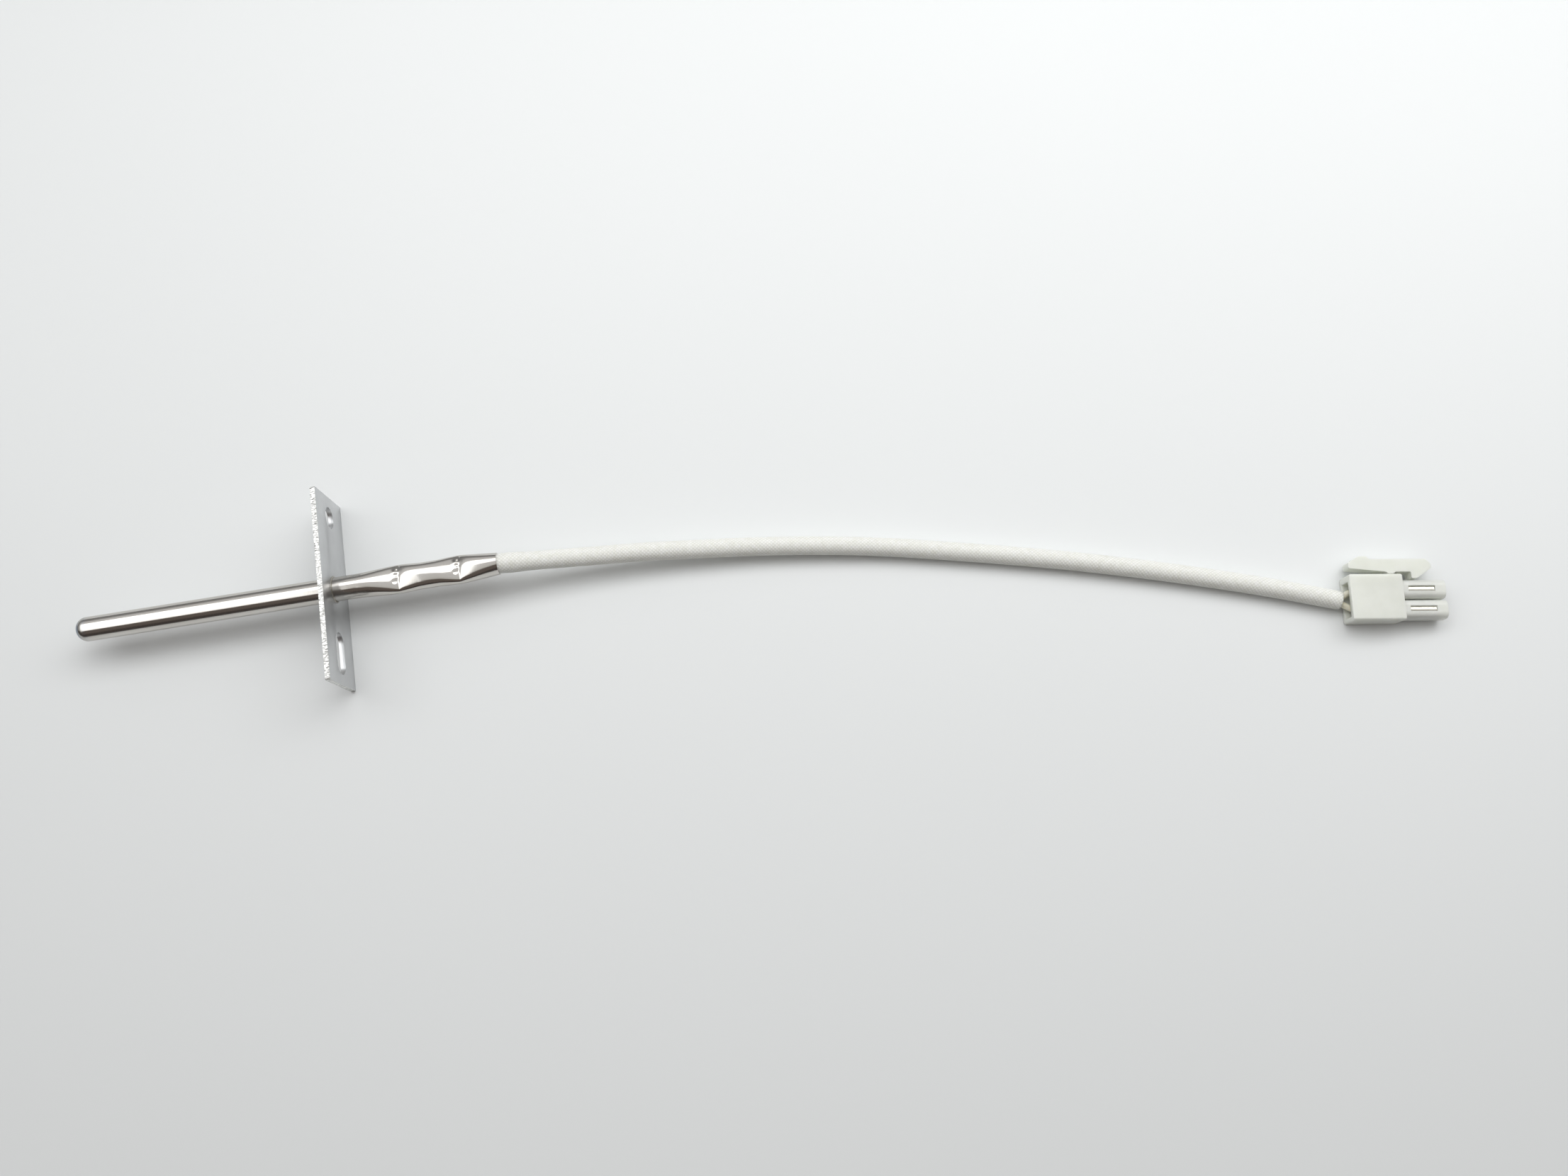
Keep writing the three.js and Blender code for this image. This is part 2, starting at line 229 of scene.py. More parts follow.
# %% The lead's route
LEAD_ROUTE = [
    (43.0, 0.0, 7.5),
    (51.1, -0.4, 6.6),
    (60.9, -0.9, 5.4),
    (72.4, -1.6, 4.5),
    (84.4, -2.7, 3.6),
    (96.4, -4.0, 3.0),
    (108.9, -5.8, 2.6),
    (121.6, -8.1, 2.25),
    (134.3, -11.0, 2.05),
    (146.9, -14.1, 2.02),
    (159.5, -17.4, 2.02),
    (173.0, -21.3, 2.02),
    (186.4, -25.5, 2.02),
    (199.7, -30.0, 2.02),
    (212.6, -34.8, 2.02),
]


def curve_through(points, pieces_per_span):
    """A centripetal Catmull-Rom curve through the points, as an array of points."""
    p = np.array(points, float)
    p = np.vstack([2 * p[0] - p[1], p, 2 * p[-1] - p[-2]])
    line = []
    for i in range(len(p) - 3):
        a, b, c, d = p[i : i + 4]
        t0 = 0.0
        t1 = t0 + np.linalg.norm(b - a) ** 0.5
        t2 = t1 + np.linalg.norm(c - b) ** 0.5
        t3 = t2 + np.linalg.norm(d - c) ** 0.5
        for t in np.linspace(t1, t2, pieces_per_span, endpoint=False):
            ab = ((t1 - t) * a + (t - t0) * b) / (t1 - t0)
            bc = ((t2 - t) * b + (t - t1) * c) / (t2 - t1)
            cd = ((t3 - t) * c + (t - t2) * d) / (t3 - t2)
            abc = ((t2 - t) * ab + (t - t0) * bc) / (t2 - t0)
            bcd = ((t3 - t) * bc + (t - t1) * cd) / (t3 - t1)
            line.append(((t2 - t) * abc + (t - t1) * bcd) / (t2 - t1))
    line.append(p[-2])
    return np.array(line)


def length_of(line):
    return float(np.linalg.norm(np.diff(line, axis=0), axis=1).sum())


def evenly_spaced(line, count):
    """The line again, with count points at equal distances."""
    steps = np.linalg.norm(np.diff(line, axis=0), axis=1)
    along = np.concatenate([[0], np.cumsum(steps)])
    wanted = np.linspace(0, along[-1], count)
    return np.stack([np.interp(wanted, along, line[:, k]) for k in range(3)], axis=1)


lead_line = curve_through(LEAD_ROUTE, 24)
print("lead", round(length_of(lead_line), 1), "mm from the sheath to its end")

# %% [markdown]
# ## The braided sleeve
# The outside of the lead is a sleeve of glass-fibre yarns that cross at about 45 degrees, over one and
# under one. A picture of a weave on a smooth tube looks printed, so each crossing is raised in the mesh.
# A flat grid is the quickest start: its two directions become "along the lead" and "round the lead", its
# UV map stays even, and the yarn heights follow from the two diagonal directions.

# %% The braided sleeve's shape
SLEEVE_RADIUS = 1.97
SLEEVE_BORE_RADIUS = 1.5
YARNS_ROUND = 16
STEPS_PER_YARN = 5
YARN_RELIEF = 0.13
THREAD_RATE = 18.0
MOUTH_SWELLING = 0.16
MOUTH_SWELLING_PLACE = 2.4
MOUTH_SWELLING_REACH = 2.6
PLUG_END_TUCK = 0.12
TUCK_YARNS = 1.2
HIDDEN_START = 0.6
END_RECESS = 3.0
YARN_PITCH = 2 * math.pi * SLEEVE_RADIUS / YARNS_ROUND

# The sleeve swells a little where it leaves the sheath, and its first part is hidden inside the mouth.
# At the plug its last yarns are tucked in.


def braid_height(along, turn):
    """Height of a plain over-and-under braid. Both inputs count yarns: along the lead and round it."""
    a = along + turn
    b = along - turn
    across_a = 2 * (a - np.floor(a)) - 1
    across_b = 2 * (b - np.floor(b)) - 1
    a_on_top = (np.floor(a) + np.floor(b)) % 2 == 0
    across = np.where(a_on_top, across_a, across_b)
    beside = np.where(a_on_top, across_b, across_a)
    rounded = np.sqrt(np.clip(1 - 0.92 * across**2, 0, 1))
    return rounded * (0.55 + 0.45 * np.cos(beside * math.pi / 2))


def frames_along(line):
    """At each point of a line: its direction, the level direction to its left, and upwards."""
    forward = np.gradient(line, axis=0)
    forward /= np.linalg.norm(forward, axis=1)[:, None]
    left = np.cross(np.array([0, 0, 1.0]), forward)
    left /= np.linalg.norm(left, axis=1)[:, None]
    return forward, left, np.cross(forward, left)


def wrapped_grid(line, sides, radius_at):
    """A grid wrapped round a line. radius_at gives the radius from the ring's number and the turn."""
    bm = bmesh.new()
    bm.loops.layers.uv.new("UVMap")
    bmesh.ops.create_grid(bm, x_segments=len(line) - 1, y_segments=sides, size=0.5, calc_uvs=True)
    place = np.array([v.co[:] for v in bm.verts])
    ring = np.rint((place[:, 0] + 0.5) * (len(line) - 1)).astype(int)
    turn = place[:, 1] + 0.5
    _, left, up = frames_along(line)
    radius = radius_at(ring, turn)[:, None]
    angle = 2 * math.pi * turn[:, None]
    placed = line[ring] + radius * (np.cos(angle) * left[ring] + np.sin(angle) * up[ring])
    for vert, co in zip(bm.verts, placed):
        vert.co = co
    bmesh.ops.remove_doubles(bm, verts=bm.verts, dist=1e-4)
    return bm


def close_ends(bm, line, bore_radius, outer_radius, recess):
    """Turns each open end inwards, and runs it a little way down the bore."""
    for at, step in ((0, 1), (len(line) - 1, -1)):
        rim = [e for e in bm.edges if e.is_boundary]
        centre = Vector(line[at])
        rim = [e for e in rim if (e.verts[0].co - centre).length < 2 * outer_radius]
        inward = Vector(line[at + step] - line[at]).normalized()
        made = bmesh.ops.extrude_edge_only(bm, edges=rim)["geom"]
        ring = verts_in(made)
        share = bore_radius / outer_radius
        bmesh.ops.scale(bm, vec=(share,) * 3, space=Matrix.Translation(-centre), verts=ring)
        rim = [e for e in edges_in(made) if e.is_boundary]
        made = bmesh.ops.extrude_edge_only(bm, edges=rim)["geom"]
        ring = verts_in(made)
        bmesh.ops.translate(bm, vec=inward * recess, verts=ring)
        rim = [e for e in edges_in(made) if e.is_boundary]
        bmesh.ops.contextual_create(bm, geom=rim)


# %% Glass-fibre yarn, braided and lacquered
# Fine glass fibre is white with a soft sheen, and its colour is darker towards the hollows between yarns,
# which is painted shade. Each yarn is a flat bundle of filaments far too fine to see, so they are drawn
# coarser, as threads along each yarn.
def make_braid_material(sleeve_length):
    material, tree = start_material("glass_fibre_braid_lacquered")
    uv = add(tree, "ShaderNodeUVMap", {"uv_map": "UVMap"})
    rows = sleeve_length / YARN_PITCH
    yarns = add(
        tree, "ShaderNodeMapping", Vector=uv.outputs[0], Scale=(rows, YARNS_ROUND, 1)
    ).outputs[0]
    parts = add(tree, "ShaderNodeSeparateXYZ", Vector=yarns)
    along, turn = parts.outputs[0], parts.outputs[1]
    a = add(tree, "ShaderNodeMath", {"operation": "ADD"}, i0=along, i1=turn).outputs[0]
    b = add(tree, "ShaderNodeMath", {"operation": "SUBTRACT"}, i0=along, i1=turn).outputs[0]
    gap_a = add(tree, "ShaderNodeMath", {"operation": "PINGPONG"}, i0=a, i1=0.5).outputs[0]
    gap_b = add(tree, "ShaderNodeMath", {"operation": "PINGPONG"}, i0=b, i1=0.5).outputs[0]
    gap = add(tree, "ShaderNodeMath", {"operation": "MINIMUM"}, i0=gap_a, i1=gap_b).outputs[0]
    lines = add(tree, "ShaderNodeMath", {"operation": "ADD"}, i0=a, i1=b).outputs[0]
    lines = add(tree, "ShaderNodeMath", {"operation": "MULTIPLY"}, i0=lines, i1=THREAD_RATE)
    lines = lines.outputs[0]
    threads = add(tree, "ShaderNodeMath", {"operation": "SINE"}, i0=lines).outputs[0]
    spots = add(
        tree, "ShaderNodeTexNoise", Vector=yarns, Scale=0.7, Detail=4.0, Roughness=0.6
    ).outputs[0]
    # Painted shade: the yarn colour darkens towards the gaps between yarns, where shade falls.
    painted_gap_shade = add(
        tree,
        "ShaderNodeMath",
        {"operation": "MULTIPLY_ADD", "use_clamp": True},
        i0=gap,
        i1=3.2,
        i2=0.05,
    ).outputs[0]
    body = ramp(tree, painted_gap_shade, (0.0, 0xD6D6D1), (0.45, 0xE6E6E3), (1.0, 0xEFEFEC))
    patch = ramp(tree, spots, (0.3, 0xF3F3EE), (0.7, 0xFFFFFF))
    colour = add(
        tree,
        "ShaderNodeMix",
        {"data_type": "RGBA", "blend_type": "MULTIPLY"},
        i0=1.0,
        i6=body,
        i7=patch,
    ).outputs[2]
    rough = add(tree, "ShaderNodeMapRange", Value=spots, To_Min=0.5, To_Max=0.8).outputs[0]
    height = add(
        tree, "ShaderNodeMath", {"operation": "MULTIPLY_ADD"}, i0=threads, i1=0.5, i2=spots
    ).outputs[0]
    bump = add(tree, "ShaderNodeBump", Strength=0.35, Distance=0.03 * MM, Height=height)
    return close_material(
        material,
        Base_Color=colour,
        Roughness=rough,
        IOR=1.5,
        Normal=bump.outputs[0],
        Subsurface_Weight=0.25,
        Subsurface_Radius=(0.0008, 0.0008, 0.0007),
        Subsurface_Scale=0.6,
        Sheen_Weight=0.15,
        Sheen_Roughness=0.4,
    )


# %% Make the sleeve
def make_sleeve():
    length = length_of(lead_line)
    rings = round(length / YARN_PITCH * STEPS_PER_YARN) + 1
    spacing = length / (rings - 1)
    line = evenly_spaced(lead_line, rings)
    line[0] -= np.array([HIDDEN_START, 0, 0])

    def radius_at(ring, turn):
        along = ring / STEPS_PER_YARN
        height = braid_height(along, turn * YARNS_ROUND)
        from_end = np.clip((rings - 1 - ring) / (STEPS_PER_YARN * TUCK_YARNS), 0, 1)
        pulled_in = PLUG_END_TUCK * (1 - from_end) ** 2
        past_mouth = (ring * spacing - MOUTH_SWELLING_PLACE) / MOUTH_SWELLING_REACH
        swollen = MOUTH_SWELLING * np.exp(-(past_mouth**2))
        return SLEEVE_RADIUS + swollen - YARN_RELIEF * (1 - height) - pulled_in

    bm = wrapped_grid(line, YARNS_ROUND * STEPS_PER_YARN, radius_at)
    close_ends(bm, line, SLEEVE_BORE_RADIUS, SLEEVE_RADIUS, END_RECESS)
    material = make_braid_material(length)
    return finish_piece(
        bm, "glass_braid_sleeve", [material], ["braided_sleeve"], smooth_below=80
    )


glass_sleeve = make_sleeve()

# %% [markdown]
# ## The two insulated wires
# Inside the sleeve run two wires, each with its own lacquered glass insulation. They only show for a
# millimetre between the sleeve and the plug, where they part towards their two circuits. The same
# wrapped grid makes them, with fewer sides and no yarn relief.

# %% Places in the connector
CONNECTOR_PLACE = Vector((213.6, -34.9, 0.0))
CONNECTOR_TURN = math.radians(-9)
CIRCUIT_YS = (1.8, -2.4)
CIRCUIT_Z = 2.7
TO_CONNECTOR = Matrix.Translation(CONNECTOR_PLACE) @ Matrix.Rotation(CONNECTOR_TURN, 4, "Z")
WIRE_SPACING = 1.44
INSULATION_RADIUS = 0.65
INSULATION_BORE_RADIUS = 0.38
INSULATION_RECESS = 0.8
WIRE_SIDES = 20
AXIS_Z = 7.5
SEAL_SIDE_X = 7.5


def wire_line(side):
    """The middle of one insulated wire, from the splice inside the probe to its terminal."""
    y = side * WIRE_SPACING / 2
    route = np.array(LEAD_ROUTE)
    _, left, _ = frames_along(route)
    circuit_y = CIRCUIT_YS[0 if side > 0 else 1]
    entry_y = y + 0.6 * (circuit_y - y)
    ends = [(0.6, entry_y, 2.4), (2.0, circuit_y, CIRCUIT_Z), (4.0, circuit_y, CIRCUIT_Z)]
    points = [(SEAL_SIDE_X, y, AXIS_Z)]
    points += [tuple(p) for p in route + y * left]
    points += [tuple(TO_CONNECTOR @ Vector(p)) for p in ends]
    return curve_through(points, 12)


# %% Glass insulation, varnished
# The varnish makes the wire's own insulation look like pale cream wax: warmer and more glossy than the dry
# outer sleeve, with fine lapped threads that the varnish nearly levels.
def make_wire_material(name, colours):
    material, tree = start_material(name)
    where = add(tree, "ShaderNodeTexCoord").outputs["Object"]
    blotch = add(tree, "ShaderNodeTexNoise", Vector=where, Scale=per_mm(1.2), Detail=3.0).outputs[0]
    thread = add(
        tree,
        "ShaderNodeTexWave",
        {"bands_direction": "DIAGONAL"},
        Vector=where,
        Scale=per_mm(0.15) / 20,
        Distortion=1.0,
    ).outputs[1]
    colour = ramp(tree, blotch, (0.3, colours[0]), (0.7, colours[1]))
    rough = add(tree, "ShaderNodeMapRange", Value=blotch, To_Min=0.3, To_Max=0.5).outputs[0]
    bump = add(tree, "ShaderNodeBump", Strength=0.4, Distance=0.02 * MM, Height=thread)
    return close_material(
        material,
        Base_Color=colour,
        Roughness=rough,
        IOR=1.5,
        Normal=bump.outputs[0],
        Subsurface_Weight=0.4,
        Subsurface_Radius=(0.0012, 0.001, 0.0007),
        Subsurface_Scale=0.7,
        Coat_Weight=0.3,
        Coat_Roughness=0.2,
    )


# %% Make the wires
def make_wire(side, name, node, material):
    line = wire_line(side)
    bm = wrapped_grid(line, WIRE_SIDES, lambda ring, turn: np.full(len(ring), INSULATION_RADIUS))
    close_ends(bm, line, INSULATION_BORE_RADIUS, INSULATION_RADIUS, INSULATION_RECESS)
    return finish_piece(bm, name, [material], [node])


wire_positive = make_wire(
    1,
    "insulated_wire_positive",
    "lead_insulation_positive",
    make_wire_material("glass_insulation_varnished_pale", (0xDEDAC6, 0xEAE7DA)),
)
wire_negative = make_wire(
    -1,
    "insulated_wire_negative",
    "lead_insulation_negative",
    make_wire_material("glass_insulation_varnished_cream", (0xDAD5BE, 0xE6E2D2)),
)

# %% [markdown]
# ## The steel sheath and its two crimps
# The sheath is one drawn stainless tube. Blades pressed it flatter at two places so that it grips the
# lead: there it is wider across, thinner from top to bottom, and each blade left a fold with a steep face
# on the lead's side, a small knob and a pit. The pressed faces stay slightly domed and lean a little to
# one side, which is what makes their reflections bend. Sculpting could do this, but a tube spun from a
# profile with close stations can be pressed by a formula, which stays exact and repeatable.

# %% The sheath's values
TIP_X = -43.0
MOUTH_X = 43.0
SHEATH_RADIUS = 2.5
SHEATH_WALL = 0.3
DOME_DEPTH = 2.2
PLATE_REAR_X = 9.5
CRIMP_XS = (PLATE_REAR_X + 13.2, PLATE_REAR_X + 25.6)
CRIMP_REACH = 7.6
CRIMP_SPREAD = 0.22
MOUTH_PINCH = 0.11
PRESSED_HALF_HEIGHT = 1.42
NEAR_SLOPES = (0.20, 0.13)
FAR_SLOPES = (0.07, 0.13)
PRESS_BLEND = 0.6
OPEN_HEIGHT = 3.0
PRESSED_DOME = 0.075
FOLD_ROUNDING = 0.1
BLADE_LEAN = Matrix.Rotation(math.radians(-6), 3, "X")
SHEATH_SIDES = 144
PLAIN_STATIONS = 8
PRESSED_STATIONS = 196
BORE_STATIONS = 56
PLAIN_START_X = -36.0
AXIS = Vector((0, 0, AXIS_Z))

# What each blade left beside its fold: height, place along and across the sheath, and size.
BLADE_MARKS = (
    (0.30, -0.42, 1.15, 0.6),
    (-0.24, -0.25, 1.45, 0.26),
    (0.12, -0.3, -0.1, 0.34),
    (-0.10, -0.7, -0.9, 0.45),
)


def smooth_step(value):
    value = min(1.0, max(0.0, value))
    return value * value * (3 - 2 * value)


def lesser(a, b, blend):
    """The smaller of two lengths, with the corner between them rounded off."""
    share = max(blend - abs(a - b), 0.0) / blend
    return min(a, b) - share * share * blend / 4


def tent(distance, reach, rounding):
    """A ridge that falls in straight lines, with its top rounded off."""
    return max(0.0, 1 - (math.hypot(distance, rounding) - rounding * 0.6) / reach)


def widening(x, side):
    """The share that the sheath is widened by: sharp ridges on the far side, rounder on the near one."""
    rounding = 0.35 + 1.25 * smooth_step(0.5 - 0.8 * side)
    ridges = sum(tent(x - crimp, CRIMP_REACH, rounding) for crimp in CRIMP_XS)
    beyond = max(0.0, (x - CRIMP_XS[1]) / (MOUTH_X - CRIMP_XS[1]))
    return CRIMP_SPREAD * ridges - MOUTH_PINCH * beyond


def mark(s, y, at_s, at_y, size):
    """A round mark of height 1 that fades out over its size."""
    return math.exp(-((s - at_s) ** 2 + (y - at_y) ** 2) / size**2)


def blade_height(x, y):
    """Height above the axis that the straight blades left at a place along and across the sheath."""
    height = OPEN_HEIGHT
    for crimp, near, far in zip(CRIMP_XS, NEAR_SLOPES, FAR_SLOPES):
        s = x - crimp
        from_fold = math.hypot(s, FOLD_ROUNDING) - FOLD_ROUNDING
        if s < 0:
            rise = near * from_fold
        else:
            across = y + 2.6
            flank = max(0.3, 0.3 + 0.2 * across)
            drop = max(0.1, 0.1 + 0.11 * across)
            rise = far * s + drop * (1 - math.exp(-from_fold / flank))
        for tall, at_s, at_y, size in BLADE_MARKS:
            rise += tall * mark(s, y, at_s, at_y, size)
        height = lesser(height, PRESSED_HALF_HEIGHT + rise, 0.5)
    return height - PRESSED_DOME * y * y


def press(vert):
    """Moves one vertex of the round tube to where the crimping blades left it."""
    x, y, z = BLADE_LEAN.transposed() @ vert.co
    share = widening(x, y / SHEATH_RADIUS)
    inside_by = SHEATH_RADIUS - math.hypot(y, z)
    y *= 1 + share
    height = lesser(abs(z), blade_height(x, y) - inside_by, PRESS_BLEND)
    vert.co = BLADE_LEAN @ Vector((x, y, math.copysign(height, z)))


# %% Stainless tube, centreless polished
# The polish runs round the tube, so reflections stay crisp across it and smear a little along it. The
# polishing lines are far finer than a picture can show, so they are drawn 0.12 mm wide.
def make_tube_steel():
    material, tree = start_material("stainless_tube_polished")
    where = add(tree, "ShaderNodeTexCoord").outputs["Object"]
    ringwise = add(tree, "ShaderNodeMapping", Vector=where, Scale=(1.0, 0.04, 0.04)).outputs[0]
    lines = add(tree, "ShaderNodeTexNoise", Vector=ringwise, Scale=per_mm(0.12), Detail=3.0).outputs[0]
    cloud = add(tree, "ShaderNodeTexNoise", Vector=where, Scale=per_mm(6.0), Detail=5.0).outputs[0]
    parts = add(tree, "ShaderNodeSeparateXYZ", Vector=where)
    heated = add(
        tree,
        "ShaderNodeMapRange",
        {"interpolation_type": "SMOOTHSTEP"},
        Value=parts.outputs[0],
        From_Min=(TIP_X + 3.2) * MM,
        From_Max=(TIP_X + 1.4) * MM,
    ).outputs[0]
    clean = ramp(tree, cloud, (0.3, 0xC9C5BF), (0.7, 0xD0CDC8))
    tint = add(
        tree, "ShaderNodeMix", {"data_type": "RGBA"}, i0=heated, i6=clean, i7=linear(0xB9BCC2)
    ).outputs[2]
    rough = add(tree, "ShaderNodeMapRange", Value=lines, To_Min=0.1, To_Max=0.16).outputs[0]
    bump = add(tree, "ShaderNodeBump", Strength=0.05, Distance=0.02 * MM, Height=lines)
    return close_material(
        material, Base_Color=tint, Metallic=1.0, Roughness=rough, Normal=bump.outputs[0]
    )


TUBE_STEEL = make_tube_steel()


# %% Make the sheath
CAP_GAP = 0.005
RIM_ROUNDING = 0.04


def make_sheath():
    start = TIP_X + DOME_DEPTH + CAP_GAP
    first = CRIMP_XS[0] - CRIMP_REACH - 1.0
    outside = [start, *np.linspace(PLAIN_START_X, first, PLAIN_STATIONS)]
    outside += list(np.linspace(first + 0.15, MOUTH_X, PRESSED_STATIONS))
    inside = [MOUTH_X, *np.linspace(MOUTH_X - 0.5, first, BORE_STATIONS), start]
    profile = [(float(x), SHEATH_RADIUS) for x in outside]
    profile += [(float(x), SHEATH_RADIUS - SHEATH_WALL) for x in inside]
    bm = bmesh.new()
    spin_profile(bm, profile, SHEATH_SIDES)
    for vert in bm.verts:
        press(vert)
    rims = [e for e in edges_sharper_than(bm, 60) if e.verts[0].co.x > 0]
    bevel_edges(bm, rims, RIM_ROUNDING, 2)
    bmesh.ops.translate(bm, vec=AXIS, verts=bm.verts)
    return finish_piece(
        bm, "crimped_sheath", [TUBE_STEEL], ["sheath_tube"], smooth_below=55
    )


make_sheath()

# %% [markdown]
# ## The welded end
# A small turned cap closes the hot end and is welded on all round. The weld was polished flush, so all
# that shows is a blue-grey tint where the heat ran. The cap is spun from its profile, with the spigot that
# sits inside the tube, and the tint is a ramp along the probe.


# %% Stainless steel, welded and polished
# The heat tint turns the steel blue-grey round the dome, and leaves its crown and the tube cleaner.
def make_cap_steel():
    material, tree = start_material("stainless_cap_heat_tinted")
    where = add(tree, "ShaderNodeTexCoord").outputs["Object"]
    parts = add(tree, "ShaderNodeSeparateXYZ", Vector=where)
    wander = add(tree, "ShaderNodeTexNoise", Vector=where, Scale=per_mm(1.6), Detail=3.0).outputs[0]
    shifted = add(
        tree,
        "ShaderNodeMath",
        {"operation": "MULTIPLY_ADD"},
        i0=wander,
        i1=0.5 * MM,
        i2=parts.outputs[0],
    ).outputs[0]
    along = add(
        tree,
        "ShaderNodeMapRange",
        Value=shifted,
        From_Min=TIP_X * MM,
        From_Max=(TIP_X + DOME_DEPTH + 0.4) * MM,
    ).outputs[0]
    colour = ramp(
        tree,
        along,
        (0.0, 0xB8BBC0),
        (0.24, 0xB0B4BB),
        (0.36, 0x8A919D),
        (0.46, 0x868E9C),
        (0.62, 0xB4B2AD),
        (1.0, 0xC4C2BE),
    )
    rough = add(tree, "ShaderNodeMapRange", Value=wander, To_Min=0.16, To_Max=0.3).outputs[0]
    fine = add(tree, "ShaderNodeTexNoise", Vector=where, Scale=per_mm(0.15), Detail=2.0).outputs[0]
    bump = add(tree, "ShaderNodeBump", Strength=0.08, Distance=0.02 * MM, Height=fine)
    return close_material(
        material, Base_Color=colour, Metallic=1.0, Roughness=rough, Normal=bump.outputs[0]
    )


# %% Make the end cap
DOME_STEPS = 24
CAP_SIDES = 96
SPIGOT_RADIUS = SHEATH_RADIUS - SHEATH_WALL - 0.05
SPIGOT_LENGTH = 0.8
SPIGOT_TAPER = 0.1


def make_end_cap():
    shoulder = TIP_X + DOME_DEPTH
    profile = [(TIP_X, 0.0)]
    for step in range(1, DOME_STEPS + 1):
        angle = math.pi / 2 * step / DOME_STEPS
        reach = SHEATH_RADIUS * math.sin(angle)
        profile.append((shoulder - DOME_DEPTH * math.cos(angle), reach))
    profile.append((shoulder, SPIGOT_RADIUS))
    profile.append((shoulder + SPIGOT_LENGTH, SPIGOT_RADIUS - SPIGOT_TAPER))
    profile.append((shoulder + SPIGOT_LENGTH, 0.0))
    bm = bmesh.new()
    spin_profile(bm, profile, CAP_SIDES, closed=False)
    bmesh.ops.translate(bm, vec=AXIS, verts=bm.verts)
    return finish_piece(
        bm, "welded_end_cap", [make_cap_steel()], ["end_cap"], smooth_below=50
    )


make_end_cap()

# %% [markdown]
# ## The mounting plate
# The plate is a strip of 1 mm stainless sheet, sheared to size and punched. Its faces keep the mill
# finish, and its outer edges sparkle with the grain of the shear. It could be a boolean of a box and
# cutters; filling an outline with holes in it and then extruding it gives cleaner edges, which can take a
# true bevel.

# %% The plate's values
PLATE_LENGTH = 40.0
PLATE_HEIGHT = 15.0
PLATE_THICKNESS = 1.0
PLATE_CORNER = 0.35
PLATE_BORE = 2.8
SCREW_WIDTH = 4.5
SCREW_HOLE_Y = 15.4
SLOT_Y = -13.4
SLOT_LENGTH = 8.8
PLATE_EDGE_ROUNDING = 0.09
HOLE_SIDES = 66


# %% Stainless sheet, cold rolled
# Rolling leaves faint straight lines 0.1 mm apart along the strip and a soft, silky reflection.
def make_sheet_steel():
    material, tree = start_material("stainless_sheet_cold_rolled")
    where = add(tree, "ShaderNodeTexCoord").outputs["Object"]
    rolled = add(tree, "ShaderNodeMapping", Vector=where, Scale=(1.0, 0.03, 1.0)).outputs[0]
    lines = add(tree, "ShaderNodeTexNoise", Vector=rolled, Scale=per_mm(0.1), Detail=3.0).outputs[0]
    cloud = add(tree, "ShaderNodeTexNoise", Vector=where, Scale=per_mm(4.0), Detail=5.0).outputs[0]
    scratch_place = add(
        tree, "ShaderNodeMapping", Vector=where, Rotation=(0.5, 0, 0), Scale=(1.0, 0.05, 1.0)
    ).outputs[0]
    scratch = add(tree, "ShaderNodeTexNoise", Vector=scratch_place, Scale=per_mm(0.3)).outputs[0]
    colour = ramp(tree, cloud, (0.3, 0xCCCDCE), (0.7, 0xD3D4D5))
    mixed = add(
        tree, "ShaderNodeMath", {"operation": "MULTIPLY_ADD"}, i0=scratch, i1=0.4, i2=lines
    ).outputs[0]
    rough = add(
        tree, "ShaderNodeMapRange", Value=mixed, From_Max=1.4, To_Min=0.32, To_Max=0.42
    ).outputs[0]
    bump = add(tree, "ShaderNodeBump", Strength=0.05, Distance=0.02 * MM, Height=mixed)
    return close_material(
        material, Base_Color=colour, Metallic=1.0, Roughness=rough, Normal=bump.outputs[0]
    )


# %% Stainless sheet, sheared edge
# A shear tears the last part of the thickness, so the edge sparkles: small facets about 0.15 mm across
# that point every way, with streaks through the thickness. They are drawn up to twice as coarse, so that
# they show.
def make_sheared_steel():
    material, tree = start_material("stainless_sheet_sheared_edge")
    where = add(tree, "ShaderNodeTexCoord").outputs["Object"]
    streaks = add(tree, "ShaderNodeMapping", Vector=where, Scale=(0.35, 1.0, 1.0)).outputs[0]
    tear = add(tree, "ShaderNodeTexVoronoi", Vector=streaks, Scale=per_mm(0.32)).outputs[0]
    grain = add(tree, "ShaderNodeTexNoise", Vector=streaks, Scale=per_mm(0.22), Detail=4.0).outputs[0]
    height = add(tree, "ShaderNodeMath", {"operation": "ADD"}, i0=tear, i1=grain).outputs[0]
    colour = ramp(tree, grain, (0.38, 0xA2A2A0), (0.6, 0xF4F4F1))
    rough = add(tree, "ShaderNodeMapRange", Value=grain, To_Min=0.2, To_Max=0.5).outputs[0]
    bump = add(tree, "ShaderNodeBump", Strength=0.9, Distance=0.09 * MM, Height=height)
    return close_material(
        material, Base_Color=colour, Metallic=1.0, Roughness=rough, Normal=bump.outputs[0]
    )


